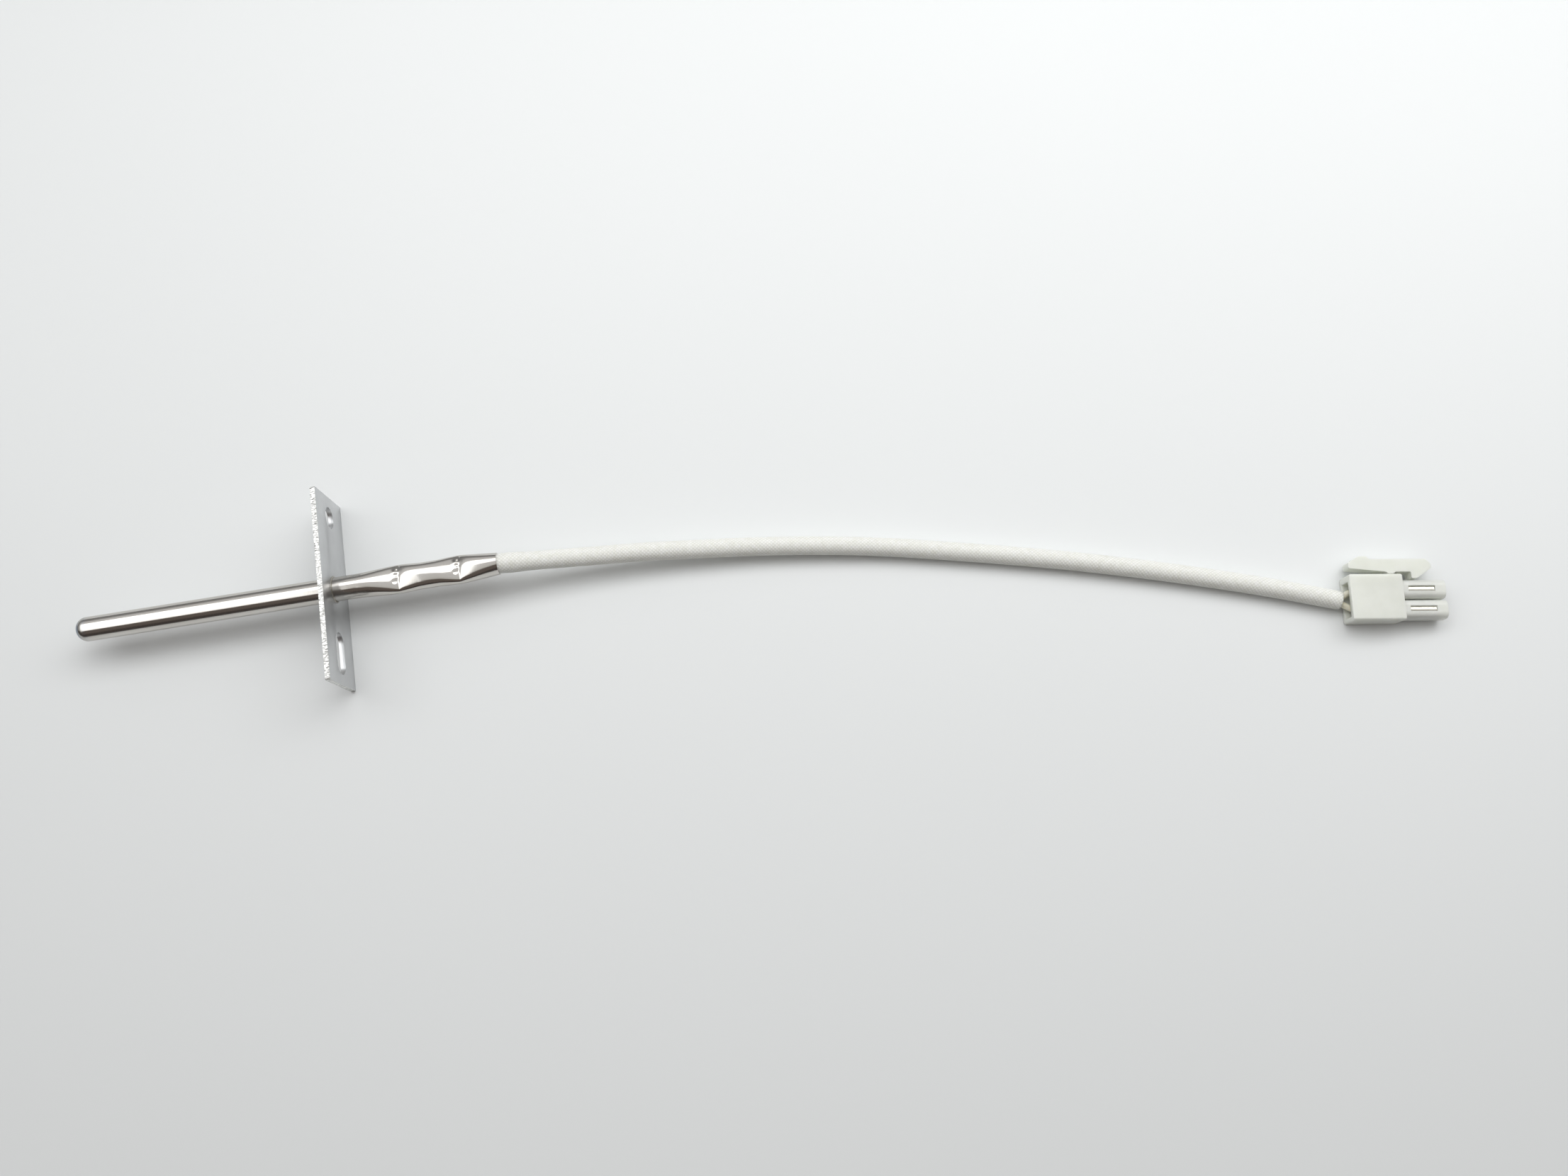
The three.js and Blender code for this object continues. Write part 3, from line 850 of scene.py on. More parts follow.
# %% Make the plate
def make_plate():
    bm = bmesh.new()
    bmesh.ops.create_grid(bm, x_segments=1, y_segments=1, size=0.5)
    bmesh.ops.scale(bm, vec=Vector((PLATE_LENGTH, PLATE_HEIGHT, 1)), verts=bm.verts)
    bmesh.ops.bevel(
        bm,
        geom=bm.verts[:],
        offset=PLATE_CORNER,
        affect="VERTICES",
        segments=5,
        profile=0.5,
        material=-1,
    )
    bmesh.ops.delete(bm, geom=bm.faces[:], context="FACES_ONLY")
    round_holes = ((0.0, PLATE_BORE, 0.0), (SCREW_HOLE_Y, SCREW_WIDTH / 2, 0.0))
    slots = ((SLOT_Y, SCREW_WIDTH / 2, SLOT_LENGTH - SCREW_WIDTH),)
    for centre, radius, stretch in round_holes + slots:
        for vert in bmesh.ops.create_circle(bm, segments=HOLE_SIDES, radius=radius)["verts"]:
            vert.co.x += centre + math.copysign(stretch / 2, vert.co.x)
    bmesh.ops.triangle_fill(bm, edges=bm.edges[:], use_beauty=True, use_dissolve=False)
    bmesh.ops.rotate(bm, matrix=Matrix(((0, 0, 1), (1, 0, 0), (0, 1, 0))), verts=bm.verts)
    bmesh.ops.recalc_face_normals(bm, faces=bm.faces)
    thicken(bm, X_AXIS * PLATE_THICKNESS)
    bmesh.ops.translate(bm, vec=AXIS + X_AXIS * (PLATE_REAR_X - PLATE_THICKNESS), verts=bm.verts)
    bmesh.ops.recalc_face_normals(bm, faces=bm.faces)
    for face in bm.faces:
        middle = face.calc_center_median() - AXIS
        side = abs(middle.y) > PLATE_LENGTH / 2 - PLATE_CORNER
        long_edge = abs(middle.z) > PLATE_HEIGHT / 2 - PLATE_CORNER
        face.material_index = 1 if abs(face.normal.x) < 0.5 and (side or long_edge) else 0
    bevel_edges(bm, edges_sharper_than(bm, 60), PLATE_EDGE_ROUNDING, 2)
    return finish_piece(
        bm,
        "slotted_plate",
        [make_sheet_steel(), make_sheared_steel()],
        ["mounting_plate"],
        smooth_below=35,
    )


make_plate()

# %% [markdown]
# ## The weld
# A fine fillet of weld metal joins the sheath to the plate on the lead's side, with one raised tack where
# the weld began. The bead is a spun profile; its ripples and the tack are pushed out of the mesh, because
# a bump map would leave its outline perfectly smooth.

# %% The weld's values
WELD_GAP = 0.02
FILLET_HEIGHT = 0.15
FILLET_REACH = 0.28
FILLET_STEPS = 6
WELD_SIDES = 192
WELD_RIPPLE = 0.02
RIPPLES_ROUND = 34
TACK_HEIGHT = 0.22
TACK_ANGLE = -0.35
TACK_SPREAD = 0.16


# %% Stainless weld metal
# Weld metal sets in overlapping ripples. It is duller than the tube, and a little warmer.
def make_weld_steel():
    material, tree = start_material("stainless_weld_bead")
    where = add(tree, "ShaderNodeTexCoord").outputs["Object"]
    grain = add(tree, "ShaderNodeTexNoise", Vector=where, Scale=per_mm(0.25), Detail=4.0).outputs[0]
    colour = ramp(tree, grain, (0.3, 0x9A958B), (0.55, 0xB5B1A8), (0.75, 0xCDCBC6))
    rough = add(tree, "ShaderNodeMapRange", Value=grain, To_Min=0.22, To_Max=0.45).outputs[0]
    bump = add(tree, "ShaderNodeBump", Strength=0.3, Distance=0.04 * MM, Height=grain)
    return close_material(
        material, Base_Color=colour, Metallic=1.0, Roughness=rough, Normal=bump.outputs[0]
    )


# %% Make the weld
def make_weld():
    inner = SHEATH_RADIUS + WELD_GAP
    outer = PLATE_BORE - WELD_GAP
    front = PLATE_REAR_X - PLATE_THICKNESS + 0.05
    profile = [(front, inner), (front, outer), (PLATE_REAR_X - WELD_GAP, outer)]
    for step in range(FILLET_STEPS + 1):
        angle = math.pi / 2 * step / FILLET_STEPS
        x = PLATE_REAR_X + FILLET_HEIGHT * math.sin(angle)
        profile.append((x, inner + FILLET_REACH * math.cos(angle)))
    profile.append((PLATE_REAR_X + FILLET_HEIGHT, inner))
    bm = bmesh.new()
    spin_profile(bm, profile, WELD_SIDES)
    for vert in bm.verts:
        if vert.co.x > PLATE_REAR_X - 0.01:
            angle = math.atan2(vert.co.z, vert.co.y)
            ripple = WELD_RIPPLE * math.sin(RIPPLES_ROUND * angle + 2 * math.sin(3 * angle))
            tack = TACK_HEIGHT * math.exp(-(((angle - TACK_ANGLE) / TACK_SPREAD) ** 2))
            out = 1 + (ripple + tack) * 0.5 / SHEATH_RADIUS
            vert.co.y *= out
            vert.co.z *= out
            vert.co.x += (ripple + tack) * 0.6 * (vert.co.x - PLATE_REAR_X + 0.05) / 0.3
    bmesh.ops.translate(bm, vec=AXIS, verts=bm.verts)
    return finish_piece(
        bm, "plate_weld", [make_weld_steel()], ["weld_ring"], smooth_below=60
    )


make_weld()

# %% [markdown]
# ## The connector housing
# The housing is one moulding of natural nylon: a block with two towers, and a channel for a terminal
# through each. The towers have well rounded corners, and a narrow window in each roof shows a bright strip
# of the terminal. A box is cut by planes at every size that matters; the towers are then extruded from the
# faces inside their outlines, and each channel and window is bridged from end to end. All of it stays one
# closed skin, which light can pass through without meeting hidden inner walls.

# %% The housing's values
HOUSING_LENGTH = 10.7
HOUSING_WIDTH = 9.6
HOUSING_HEIGHT = 5.4
TOWER_END_X = 19.6
TOWER_WIDTH = 3.9
TOWER_HEIGHT = 4.3
CHANNEL_WIDTH = 3.1
WIRE_ENTRY_DEPTH = 1.5
WINDOW_START_X = 12.0
WINDOW_END_X = 17.4
WINDOW_WIDTH = 1.1
TOWER_ROUNDING = 1.35
ROUNDING_CUTS = (0.85, 1.1, 1.35)
BLOCK_ROUNDING = 0.4
EDGE_ROUNDING = 0.1


# %% Natural nylon, injection moulded
# Nylon without pigment is milky and faintly green. Light sinks in and spreads by about a millimetre, and
# the mould left a fine satin with a few softer clouds.
def make_nylon(name):
    material, tree = start_material(name)
    where = add(tree, "ShaderNodeTexCoord").outputs["Object"]
    cloud = add(tree, "ShaderNodeTexNoise", Vector=where, Scale=per_mm(4.0), Detail=3.0).outputs[0]
    satin = add(tree, "ShaderNodeTexNoise", Vector=where, Scale=per_mm(0.12), Detail=3.0).outputs[0]
    colour = ramp(tree, cloud, (0.3, 0xE2E4DB), (0.7, 0xE9EBE3))
    rough = add(tree, "ShaderNodeMapRange", Value=satin, To_Min=0.28, To_Max=0.45).outputs[0]
    bump = add(tree, "ShaderNodeBump", Strength=0.12, Distance=0.02 * MM, Height=satin)
    return close_material(
        material,
        Base_Color=colour,
        Roughness=rough,
        IOR=1.53,
        Normal=bump.outputs[0],
        Subsurface_Weight=0.6,
        Subsurface_Radius=(0.0018, 0.0018, 0.0017),
        Subsurface_Scale=0.9,
        Transmission_Weight=0.1,
    )


HOUSING_NYLON = make_nylon("nylon_natural_moulded")


# %% Make the housing
def inside(value, low, high):
    return low + 1e-4 < value < high - 1e-4


def faces_at(bm, x, y_range, z_range, normal_x):
    """The faces that lie in one plane across the connector, within a rectangle."""
    found = []
    for face in bm.faces:
        middle = face.calc_center_median()
        if abs(middle.x - x) < 1e-3 and face.normal.x * normal_x > 0.5:
            if inside(middle.y, *y_range) and inside(middle.z, *z_range):
                found.append(face)
    return found


def cut(bm, place, direction):
    geom = bm.verts[:] + bm.edges[:] + bm.faces[:]
    bmesh.ops.bisect_plane(bm, geom=geom, plane_co=place, plane_no=direction, dist=1e-5)


def push_out(bm, faces, distance):
    """Extrudes faces along the connector, and drops the ones that are left behind."""
    made = bmesh.ops.extrude_face_region(bm, geom=faces)["geom"]
    bmesh.ops.translate(bm, vec=X_AXIS * distance, verts=verts_in(made))
    bmesh.ops.delete(bm, geom=[f for f in faces if f.is_valid], context="FACES_ONLY")


def drop_and_bridge(bm, first, second):
    """Opens two groups of faces and joins their rims with walls."""
    rims = []
    for group in (first, second):
        edges = {e for f in group for e in f.edges}
        rim = [e for e in edges if sum(f in group for f in e.link_faces) == 1]
        rims += rim
    bmesh.ops.delete(bm, geom=first + second, context="FACES")
    bmesh.ops.bridge_loops(bm, edges=[e for e in rims if e.is_valid])


def make_housing_shape():
    half = CHANNEL_WIDTH / 2
    low, high = CIRCUIT_Z - half, CIRCUIT_Z + half
    bm = bmesh.new()
    bmesh.ops.create_cube(bm, size=1)
    size = Vector((HOUSING_LENGTH, HOUSING_WIDTH, HOUSING_HEIGHT))
    bmesh.ops.scale(bm, vec=size, verts=bm.verts)
    bmesh.ops.translate(bm, vec=(HOUSING_LENGTH / 2, 0, HOUSING_HEIGHT / 2), verts=bm.verts)
    for y in CIRCUIT_YS:
        for offset in (TOWER_WIDTH / 2, half, *ROUNDING_CUTS, WINDOW_WIDTH / 2):
            cut(bm, (0, y - offset, 0), Y_AXIS)
            cut(bm, (0, y + offset, 0), Y_AXIS)
    for offset in (TOWER_HEIGHT / 2, half, *ROUNDING_CUTS):
        cut(bm, (0, 0, CIRCUIT_Z - offset), Z_AXIS)
        cut(bm, (0, 0, CIRCUIT_Z + offset), Z_AXIS)
    for y in CIRCUIT_YS:
        sides = (y - TOWER_WIDTH / 2, y + TOWER_WIDTH / 2)
        rows = (CIRCUIT_Z - TOWER_HEIGHT / 2, CIRCUIT_Z + TOWER_HEIGHT / 2)
        root = faces_at(bm, HOUSING_LENGTH, sides, rows, 1)
        push_out(bm, root, TOWER_END_X - HOUSING_LENGTH)
    bmesh.ops.recalc_face_normals(bm, faces=bm.faces)
    entry_ys = (CIRCUIT_YS[1] - half, CIRCUIT_YS[0] + half)
    entry = faces_at(bm, 0, entry_ys, (low, high), -1)
    push_out(bm, entry, WIRE_ENTRY_DEPTH)
    bmesh.ops.recalc_face_normals(bm, faces=bm.faces)
    for y in CIRCUIT_YS:
        front = faces_at(bm, TOWER_END_X, (y - half, y + half), (low, high), 1)
        rear = faces_at(bm, WIRE_ENTRY_DEPTH, (y - half, y + half), (low, high), -1)
        drop_and_bridge(bm, front, rear)
    cut(bm, (WINDOW_START_X, 0, 0), X_AXIS)
    cut(bm, (WINDOW_END_X, 0, 0), X_AXIS)
    bmesh.ops.recalc_face_normals(bm, faces=bm.faces)
    return bm


def open_windows(bm):
    """A narrow window in the roof of each tower, over the terminal's tongue."""
    half = CHANNEL_WIDTH / 2
    roof, ceiling = CIRCUIT_Z + TOWER_HEIGHT / 2, CIRCUIT_Z + half
    for y in CIRCUIT_YS:
        groups = []
        for z in (roof, ceiling):
            group = []
            for face in bm.faces:
                middle = face.calc_center_median()
                flat = abs(face.normal.z) > 0.9 and abs(middle.z - z) < 1e-3
                if flat and abs(middle.y - y) < WINDOW_WIDTH / 2 - 1e-3:
                    if inside(middle.x, WINDOW_START_X, WINDOW_END_X):
                        group.append(face)
            groups.append(group)
        drop_and_bridge(bm, groups[0], groups[1])


def round_towers(bm):
    """Moves the skin of each tower onto a section with well rounded corners."""
    reach_y, reach_z = TOWER_WIDTH / 2, TOWER_HEIGHT / 2
    for vert in bm.verts:
        if vert.co.x < HOUSING_LENGTH - 1e-3:
            continue
        for y in CIRCUIT_YS:
            across, up = vert.co.y - y, vert.co.z - CIRCUIT_Z
            beyond = Vector((abs(across) - reach_y, abs(up) - reach_z))
            if max(beyond) > 1e-3 or max(beyond) < -1e-3:
                continue
            beyond += Vector((TOWER_ROUNDING, TOWER_ROUNDING))
            if min(beyond) <= 0:
                continue
            beyond *= TOWER_ROUNDING / beyond.length
            beyond -= Vector((TOWER_ROUNDING, TOWER_ROUNDING))
            vert.co.y = y + math.copysign(beyond[0] + reach_y, across)
            vert.co.z = CIRCUIT_Z + math.copysign(beyond[1] + reach_z, up)
            break


def soften_housing(bm):
    """Rounds the block's own edges, and then everything else a little."""
    block = []
    for edge in edges_sharper_than(bm, 60):
        middle = (edge.verts[0].co + edge.verts[1].co) / 2
        if abs(abs(middle.y) - HOUSING_WIDTH / 2) < 1e-3 or middle.z in (0.0, HOUSING_HEIGHT):
            block.append(edge)
    bevel_edges(bm, block, BLOCK_ROUNDING, 5)
    bevel_edges(bm, edges_sharper_than(bm, 60), EDGE_ROUNDING, 2)


def make_housing():
    bm = make_housing_shape()
    open_windows(bm)
    round_towers(bm)
    soften_housing(bm)
    bmesh.ops.transform(bm, matrix=TO_CONNECTOR, verts=bm.verts)
    return finish_piece(
        bm, "plug_housing", [HOUSING_NYLON], ["connector_housing"], smooth_below=35
    )


plug_housing = make_housing()

# %% [markdown]
# ## The latch
# A springy arm on the side of the housing holds the plug in its mate. Its outline is drawn once from a
# few corners, filled, extruded to the arm's width and then rounded. It is a piece of its own that rides
# on the frame's latch body, so that pressing its tail lifts the hook.

# %% The latch's values
LATCH_WIDTH = 3.0
LATCH_CORNER = 0.25
LATCH_EDGE = 0.16
LATCH_OUTLINE = (
    (0.5, 6.3),
    (0.5, 7.4),
    (1.6, 8.1),
    (2.7, 8.8),
    (4.4, 8.8),
    (4.8, 8.2),
    (16.4, 8.2),
    (17.4, 7.1),
    (17.4, 6.2),
    (14.3, 4.1),
    (13.2, 4.1),
    (13.2, 5.5),
    (10.0, 5.5),
    (9.7, 5.1),
    (8.5, 5.1),
    (8.2, 5.5),
)


# %% Make the latch
def make_latch():
    bm = bmesh.new()
    low = CIRCUIT_Z - LATCH_WIDTH / 2
    verts = [bm.verts.new((x, y, low)) for x, y in LATCH_OUTLINE]
    bm.faces.new(verts)
    thicken(bm, Z_AXIS * LATCH_WIDTH)
    bmesh.ops.recalc_face_normals(bm, faces=bm.faces)
    upright = [e for e in bm.edges if abs(e.verts[0].co.z - e.verts[1].co.z) > 1e-3]
    bevel_edges(bm, [e for e in upright if e.calc_face_angle(0) > 0.3], LATCH_CORNER, 3)
    bevel_edges(bm, edges_sharper_than(bm, 60), LATCH_EDGE, 3)
    bmesh.ops.transform(bm, matrix=TO_CONNECTOR, verts=bm.verts)
    nylon = make_nylon("nylon_natural_moulded_latch")
    return finish_piece(
        bm, "plug_latch", [nylon], ["latch_arm"], body="latch", smooth_below=35
    )


plug_latch = make_latch()

# %% [markdown]
# ## The terminals
# Each terminal is a strip of thin tinned sheet, rolled into a square socket at one end and into two
# crimps at the other, with a bright tongue that stands up in the tower's window. Each rolled part starts
# from its section, a line of points drawn in half and mirrored, which is extruded along the terminal and
# then given the thickness of the sheet.

# %% The terminals' values
SHEET = 0.26
SOCKET_START_X = 8.2
SOCKET_END_X = 18.2
SOCKET_WIDTH = 2.4
SOCKET_CORNER = 0.35
NECK_START_X = 3.6
GRIP_XS = (4.5, 6.4)
WRAP_XS = (2.2, 3.8)
SPRING_INSETS = (1.2, 0.8)
SHEET_EDGE = 0.04
TONGUE_GAP = 0.08
TONGUE_STATIONS = 48
TONGUE_RIPPLE = 0.012
TONGUE_LEAN = -0.19


# %% Brass sheet, bright tinned
# Tin plate is a soft bright grey, nearly white, with faint mottling from the melt.
def make_tin():
    material, tree = start_material("brass_sheet_bright_tinned")
    where = add(tree, "ShaderNodeTexCoord").outputs["Object"]
    mottle = add(tree, "ShaderNodeTexNoise", Vector=where, Scale=per_mm(0.6), Detail=4.0).outputs[0]
    colour = ramp(tree, mottle, (0.3, 0xE6E3D8), (0.7, 0xF2F0E6))
    rough = add(tree, "ShaderNodeMapRange", Value=mottle, To_Min=0.14, To_Max=0.26).outputs[0]
    bump = add(tree, "ShaderNodeBump", Strength=0.1, Distance=0.02 * MM, Height=mottle)
    return close_material(
        material, Base_Color=colour, Metallic=1.0, Roughness=rough, Normal=bump.outputs[0]
    )


TIN = make_tin()


# %% Rolled sheet
def rolled(half_section, x0, x1, stations=1, ripple=0.0, lean=0.0):
    """Sheet rolled to a section: [y, z] points of one half, mirrored, from x0 to x1.

    A ripple starts a third of the way along, and a lean tips the part to one side.
    """
    bm = bmesh.new()
    verts = [bm.verts.new((x0, y, z)) for y, z in half_section]
    edges = [bm.edges.new(pair) for pair in zip(verts, verts[1:])]
    for _ in range(stations):
        made = bmesh.ops.extrude_edge_only(bm, edges=edges)["geom"]
        moved = verts_in(made)
        edges = [e for e in edges_in(made) if all(v in moved for v in e.verts)]
        bmesh.ops.translate(bm, vec=X_AXIS * (x1 - x0) / stations, verts=moved)
    for vert in bm.verts:
        along = (vert.co.x - x0) / (x1 - x0)
        vert.co.z += ripple * smooth_step(along * 3 - 1.2) * math.sin(along * 32)
    geom = bm.verts[:] + bm.edges[:] + bm.faces[:]
    bmesh.ops.mirror(bm, geom=geom, axis="Y", merge_dist=1e-4)
    bmesh.ops.remove_doubles(bm, verts=bm.verts, dist=1e-4)
    for vert in bm.verts:
        vert.co.z += lean * vert.co.y
    bmesh.ops.recalc_face_normals(bm, faces=bm.faces)
    bmesh.ops.solidify(bm, geom=bm.faces[:], thickness=SHEET)
    bmesh.ops.recalc_face_normals(bm, faces=bm.faces)
    bevel_edges(bm, edges_sharper_than(bm, 60), SHEET_EDGE, 1)
    mesh = bpy.data.meshes.new("rolled_part")
    bm.to_mesh(mesh)
    bm.free()
    return mesh


def bent_corner(y, z, toward_y, toward_z, radius, steps=4):
    """Points round a bend of the sheet."""
    centre_y, centre_z = y - toward_y * radius, z - toward_z * radius
    points = []
    for step in range(steps + 1):
        angle = math.pi / 2 * step / steps
        across = toward_y * radius * math.cos(angle)
        up = toward_z * radius * math.sin(angle)
        points.append((centre_y + across, centre_z + up))
    return points


# %% Make the terminals
def make_terminal(circuit, name, node):
    reach = SOCKET_WIDTH / 2 - SHEET / 2
    top = bent_corner(reach, reach, 1, 1, SOCKET_CORNER)
    bottom = bent_corner(reach, -reach, 1, -1, SOCKET_CORNER)[::-1]
    socket = [(0.0, -reach), *bottom, *top, (0.06, reach)]
    neck = [(0.0, -reach), (0.34, -reach), (0.54, -0.9), (0.58, -0.6)]
    grip = curve_through(
        [(0.0, -0.72, 0), (0.42, -0.66, 0), (0.74, -0.3, 0), (0.76, 0.18, 0)]
        + [(0.52, 0.52, 0), (0.2, 0.44, 0), (0.05, 0.12, 0)],
        4,
    )
    wrap = curve_through(
        [(0.0, -1.02, 0), (0.56, -0.88, 0), (1.02, -0.36, 0), (1.06, 0.3, 0)]
        + [(0.7, 0.84, 0), (0.18, 0.98, 0)],
        4,
    )
    spring = [(0.0, -0.42), (0.36, -0.42), (0.42, -0.5)]
    tongue = [(0.0, 1.98), (0.4, 1.98), (0.48, 1.93), (0.51, 1.7), (0.51, 1.2)]
    parts = (
        rolled(socket, SOCKET_START_X, SOCKET_END_X),
        rolled(neck, NECK_START_X, SOCKET_START_X + 0.3),
        rolled([(y, z) for y, z, _ in grip], *GRIP_XS),
        rolled([(y, z) for y, z, _ in wrap], *WRAP_XS),
        rolled(spring, SOCKET_START_X + SPRING_INSETS[0], SOCKET_END_X - SPRING_INSETS[1]),
        rolled(
            tongue,
            WINDOW_START_X + TONGUE_GAP,
            WINDOW_END_X - TONGUE_GAP,
            TONGUE_STATIONS,
            TONGUE_RIPPLE,
            TONGUE_LEAN,
        ),
    )
    bm = bmesh.new()
    for part in parts:
        bm.from_mesh(part)
        bpy.data.meshes.remove(part)
    place = TO_CONNECTOR @ Matrix.Translation((0, CIRCUIT_YS[circuit], CIRCUIT_Z))
    bmesh.ops.transform(bm, matrix=place, verts=bm.verts)
    return finish_piece(bm, name, [TIN], [node], smooth_below=50)


terminal_positive = make_terminal(0, "socket_terminal_positive", "terminal_positive")
terminal_negative = make_terminal(1, "socket_terminal_negative", "terminal_negative")

# %% [markdown]
# ## The pieces inside the probe
# The insulator, packing, junction, thermocouple wires, splices, seal and bare conductors keep the shapes
# that the frame gave them: they are plain turned and drawn pieces in real life too. Each gets the finish
# of its own material, with the grain that such a piece shows when it is taken out and looked at closely.


# %% Finishes for the inner pieces
def make_grained(name, low, high, grain_mm, rough, bump_mm, metallic=0.0, stretch=(1, 1, 1), ior=1.5):
    """A finish with one grain that varies its colour, roughness and height."""
    material, tree = start_material(name)
    where = add(tree, "ShaderNodeTexCoord").outputs["Object"]
    placed = add(tree, "ShaderNodeMapping", Vector=where, Scale=stretch).outputs[0]
    grain = add(
        tree, "ShaderNodeTexNoise", Vector=placed, Scale=per_mm(grain_mm), Detail=5.0
    ).outputs[0]
    colour = ramp(tree, grain, (0.3, low), (0.7, high))
    roughness = add(
        tree, "ShaderNodeMapRange", Value=grain, To_Min=rough[0], To_Max=rough[1]
    ).outputs[0]
    bump = add(tree, "ShaderNodeBump", Strength=0.5, Distance=bump_mm * MM, Height=grain)
    optics = {"Metallic": metallic} if metallic else {"IOR": ior}
    return close_material(
        material, Base_Color=colour, Roughness=roughness, Normal=bump.outputs[0], **optics
    )


DRAWN = (0.1, 1, 1)
inner_finishes = {
    "ceramic_insulator": make_grained(
        "alumina_ceramic_fired", 0xE9E2D2, 0xF4F0E6, 0.25, (0.45, 0.65), 0.02, ior=1.76
    ),
    "magnesia_packing": make_grained(
        "magnesia_powder_pressed", 0xE4E1D8, 0xF6F5F0, 0.12, (0.85, 1.0), 0.06, ior=1.74
    ),
    "junction_bead": make_grained(
        "nickel_alloy_bead_welded", 0x6B6761, 0x9A958D, 0.3, (0.3, 0.55), 0.05, 1.0
    ),
    "thermo_wire_positive": make_grained(
        "nickel_chrome_wire_drawn", 0x8F8A82, 0xA7A29A, 0.1, (0.3, 0.45), 0.01, 1.0, DRAWN
    ),
    "thermo_wire_negative": make_grained(
        "nickel_aluminium_wire_drawn", 0xA39D92, 0xBDB8AE, 0.1, (0.28, 0.42), 0.01, 1.0, DRAWN
    ),
    "splice_barrel_positive": make_grained(
        "nickel_barrel_crimped_positive", 0xB8B2A4, 0xCFCABD, 0.2, (0.22, 0.4), 0.02, 1.0, DRAWN
    ),
    "splice_barrel_negative": make_grained(
        "nickel_barrel_crimped_negative", 0xB5AFA2, 0xCCC7BB, 0.2, (0.22, 0.4), 0.02, 1.0, DRAWN
    ),
    "cement_seal": make_grained(
        "ceramic_cement_cured", 0xC9C2B2, 0xE0DACC, 0.2, (0.85, 1.0), 0.08, ior=1.55
    ),
    "lead_conductor_positive": make_grained(
        "nickel_wire_stranded_positive", 0xBDB9B0, 0xD6D3CB, 0.08, (0.25, 0.4), 0.02, 1.0, DRAWN
    ),
    "lead_conductor_negative": make_grained(
        "nickel_wire_stranded_negative", 0xB6B1A5, 0xCFCBC0, 0.08, (0.25, 0.4), 0.02, 1.0, DRAWN
    ),
}
for node_name, finish in inner_finishes.items():
    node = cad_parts[node_name]
    node.data.materials.clear()
    node.data.materials.append(finish)
print("finished", len(inner_finishes), "inner pieces")

# %% [markdown]
# ## The lead
# The lead runs 175 mm from the sheath's mouth to the plug.

# %% [markdown]
# ## Table and light
# Steel shows whatever stands round it, so the light matters as much as the metal. Three soft panels, all
# area lights, hang over the part. One is seen in the steel and lights the table, one is only seen in the
# steel and one only lights the table, which keeps the shadows soft and the bright streak on the steel
# narrow. Round them is a smooth gradient over the sky: the far side is pale, and the near side, where a
# person would stand, is darker.

# %% Matt white table
TABLE_SIZE = 3.0


def make_table():
    material, tree = start_material("white_table_matt")
    where = add(tree, "ShaderNodeTexCoord").outputs["Object"]
    cloud = add(tree, "ShaderNodeTexNoise", Vector=where, Scale=3.0, Detail=2.0).outputs[0]
    colour = ramp(tree, cloud, (0.3, 0xDFE1E1), (0.7, 0xE2E4E4))
    close_material(material, Base_Color=colour, Roughness=0.75, IOR=1.45)
    bm = bmesh.new()
    bmesh.ops.create_grid(bm, x_segments=8, y_segments=8, size=TABLE_SIZE)
    mesh = bpy.data.meshes.new("table")
    bm.to_mesh(mesh)
    bm.free()
    mesh.materials.append(material)
    table = bpy.data.objects.new("table", mesh)
    bpy.context.scene.collection.objects.link(table)


make_table()

# %% Soft panels
# Name, place along x, place along y, height, turn in degrees, radiance, seen in steel, lights the table.
PANELS = (
    ("long_panel", (-0.40, 0.62), (0.10, 0.295), 0.36, 5.0, 1.8, True, True),
    ("side_panel", (-0.42, -0.108), (-0.19, 0.11), 0.36, 0.0, 1.35, True, False),
    ("wide_panel", (0.00, 0.75), (0.00, 0.26), 0.30, 0.0, 1.38, False, True),
)


def make_panel(name, x_range, y_range, height, turn, radiance, in_steel, on_table):
    data = bpy.data.lights.new(name, "AREA")
    data.shape = "RECTANGLE"
    data.size = x_range[1] - x_range[0]
    data.size_y = y_range[1] - y_range[0]
    data.energy = radiance * math.pi * data.size * data.size_y
    data.color = (0.985, 0.995, 1.0)
    panel = bpy.data.objects.new(name, data)
    panel.location = (sum(x_range) / 2, sum(y_range) / 2, height)
    panel.rotation_euler.z = math.radians(turn)
    panel.visible_camera = False
    panel.visible_glossy = in_steel
    panel.visible_diffuse = on_table
    bpy.context.scene.collection.objects.link(panel)


for panel_facts in PANELS:
    make_panel(*panel_facts)


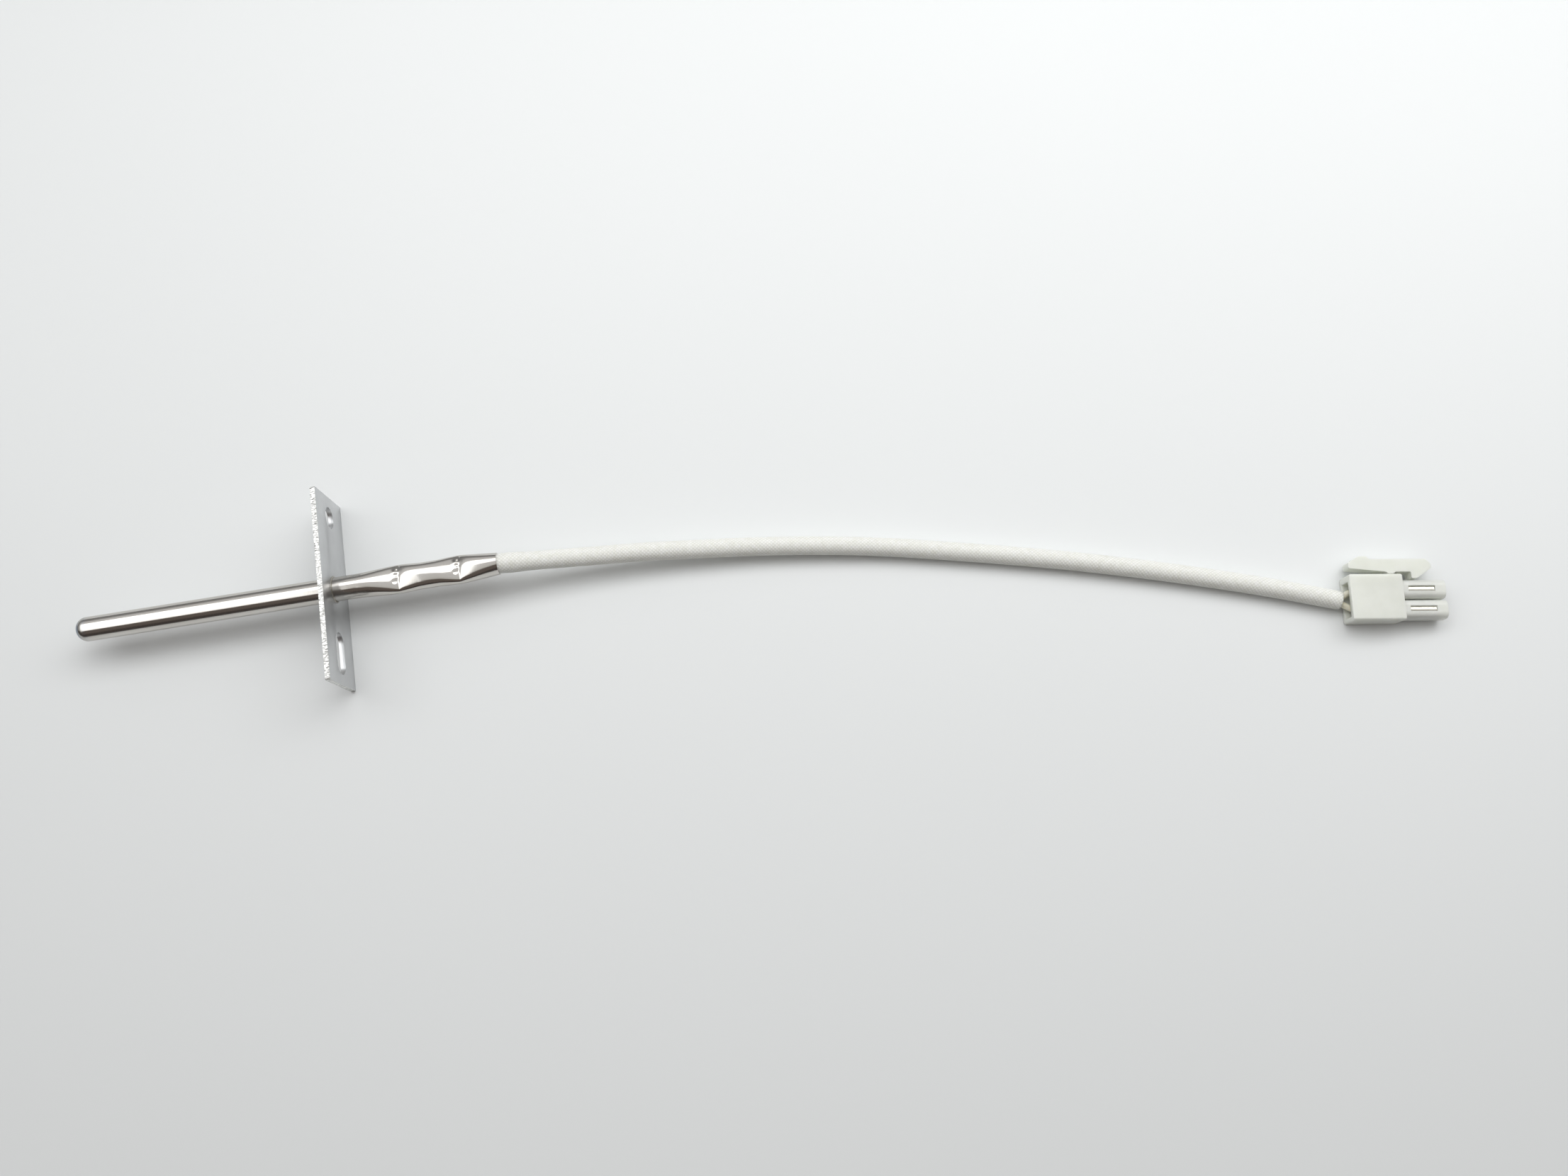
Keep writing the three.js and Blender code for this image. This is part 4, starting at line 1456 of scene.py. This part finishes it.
# %% Gradient over the sky
# The factor is the angle round the probe's own direction: 0 is straight down on the near side, 0.25 the
# near horizon, 0.5 straight up and 0.75 the far horizon. A second ramp darkens the sky towards the
# horizon all round, so that the shadows keep their depth and the steel its darker edges.
SKY_STRENGTH = 1.1


def make_sky():
    world = bpy.data.worlds.new("studio")
    bpy.context.scene.world = world
    world.use_nodes = True
    tree = world.node_tree
    tree.nodes.clear()
    direction = add(tree, "ShaderNodeTexCoord").outputs["Generated"]
    parts = add(tree, "ShaderNodeSeparateXYZ", Vector=direction).outputs
    angle = add(
        tree, "ShaderNodeMath", {"operation": "ARCTAN2"}, i0=parts[1], i1=parts[2]
    ).outputs[0]
    share = add(
        tree, "ShaderNodeMapRange", Value=angle, From_Min=-math.pi, From_Max=math.pi
    ).outputs[0]
    colour = ramp(
        tree,
        share,
        (0.0, 0xC8C8C4),
        (0.24, 0x9A9A98),
        (0.27, 0x76706C),
        (0.30, 0x625A56),
        (0.43, 0x665E59),
        (0.45, 0xCCCBC8),
        (0.50, 0xD6D6D6),
        (0.61, 0xD8D8D8),
        (0.655, 0xD2D2D2),
        (0.69, 0xC8C8C7),
        (0.75, 0xC0C0BF),
        (1.0, 0xC8C8C4),
    )
    horizon = ramp(tree, parts[2], (0.1, 0xA6A6A8), (0.35, 0xBCBCBC), (0.52, 0xFFFFFF))
    colour = add(
        tree,
        "ShaderNodeMix",
        {"data_type": "RGBA", "blend_type": "MULTIPLY"},
        i0=1.0,
        i6=colour,
        i7=horizon,
    ).outputs[2]
    seen = add(tree, "ShaderNodeBackground", Color=linear(0xEBECE8), Strength=1.0)
    light = add(tree, "ShaderNodeBackground", Color=colour, Strength=SKY_STRENGTH)
    rays = add(tree, "ShaderNodeLightPath").outputs["Is Camera Ray"]
    mixed = add(tree, "ShaderNodeMixShader", i0=rays, i1=light.outputs[0], i2=seen.outputs[0])
    add(tree, "ShaderNodeOutputWorld", Surface=mixed.outputs[0])


make_sky()
bpy.context.scene.view_settings.view_transform = "Standard"
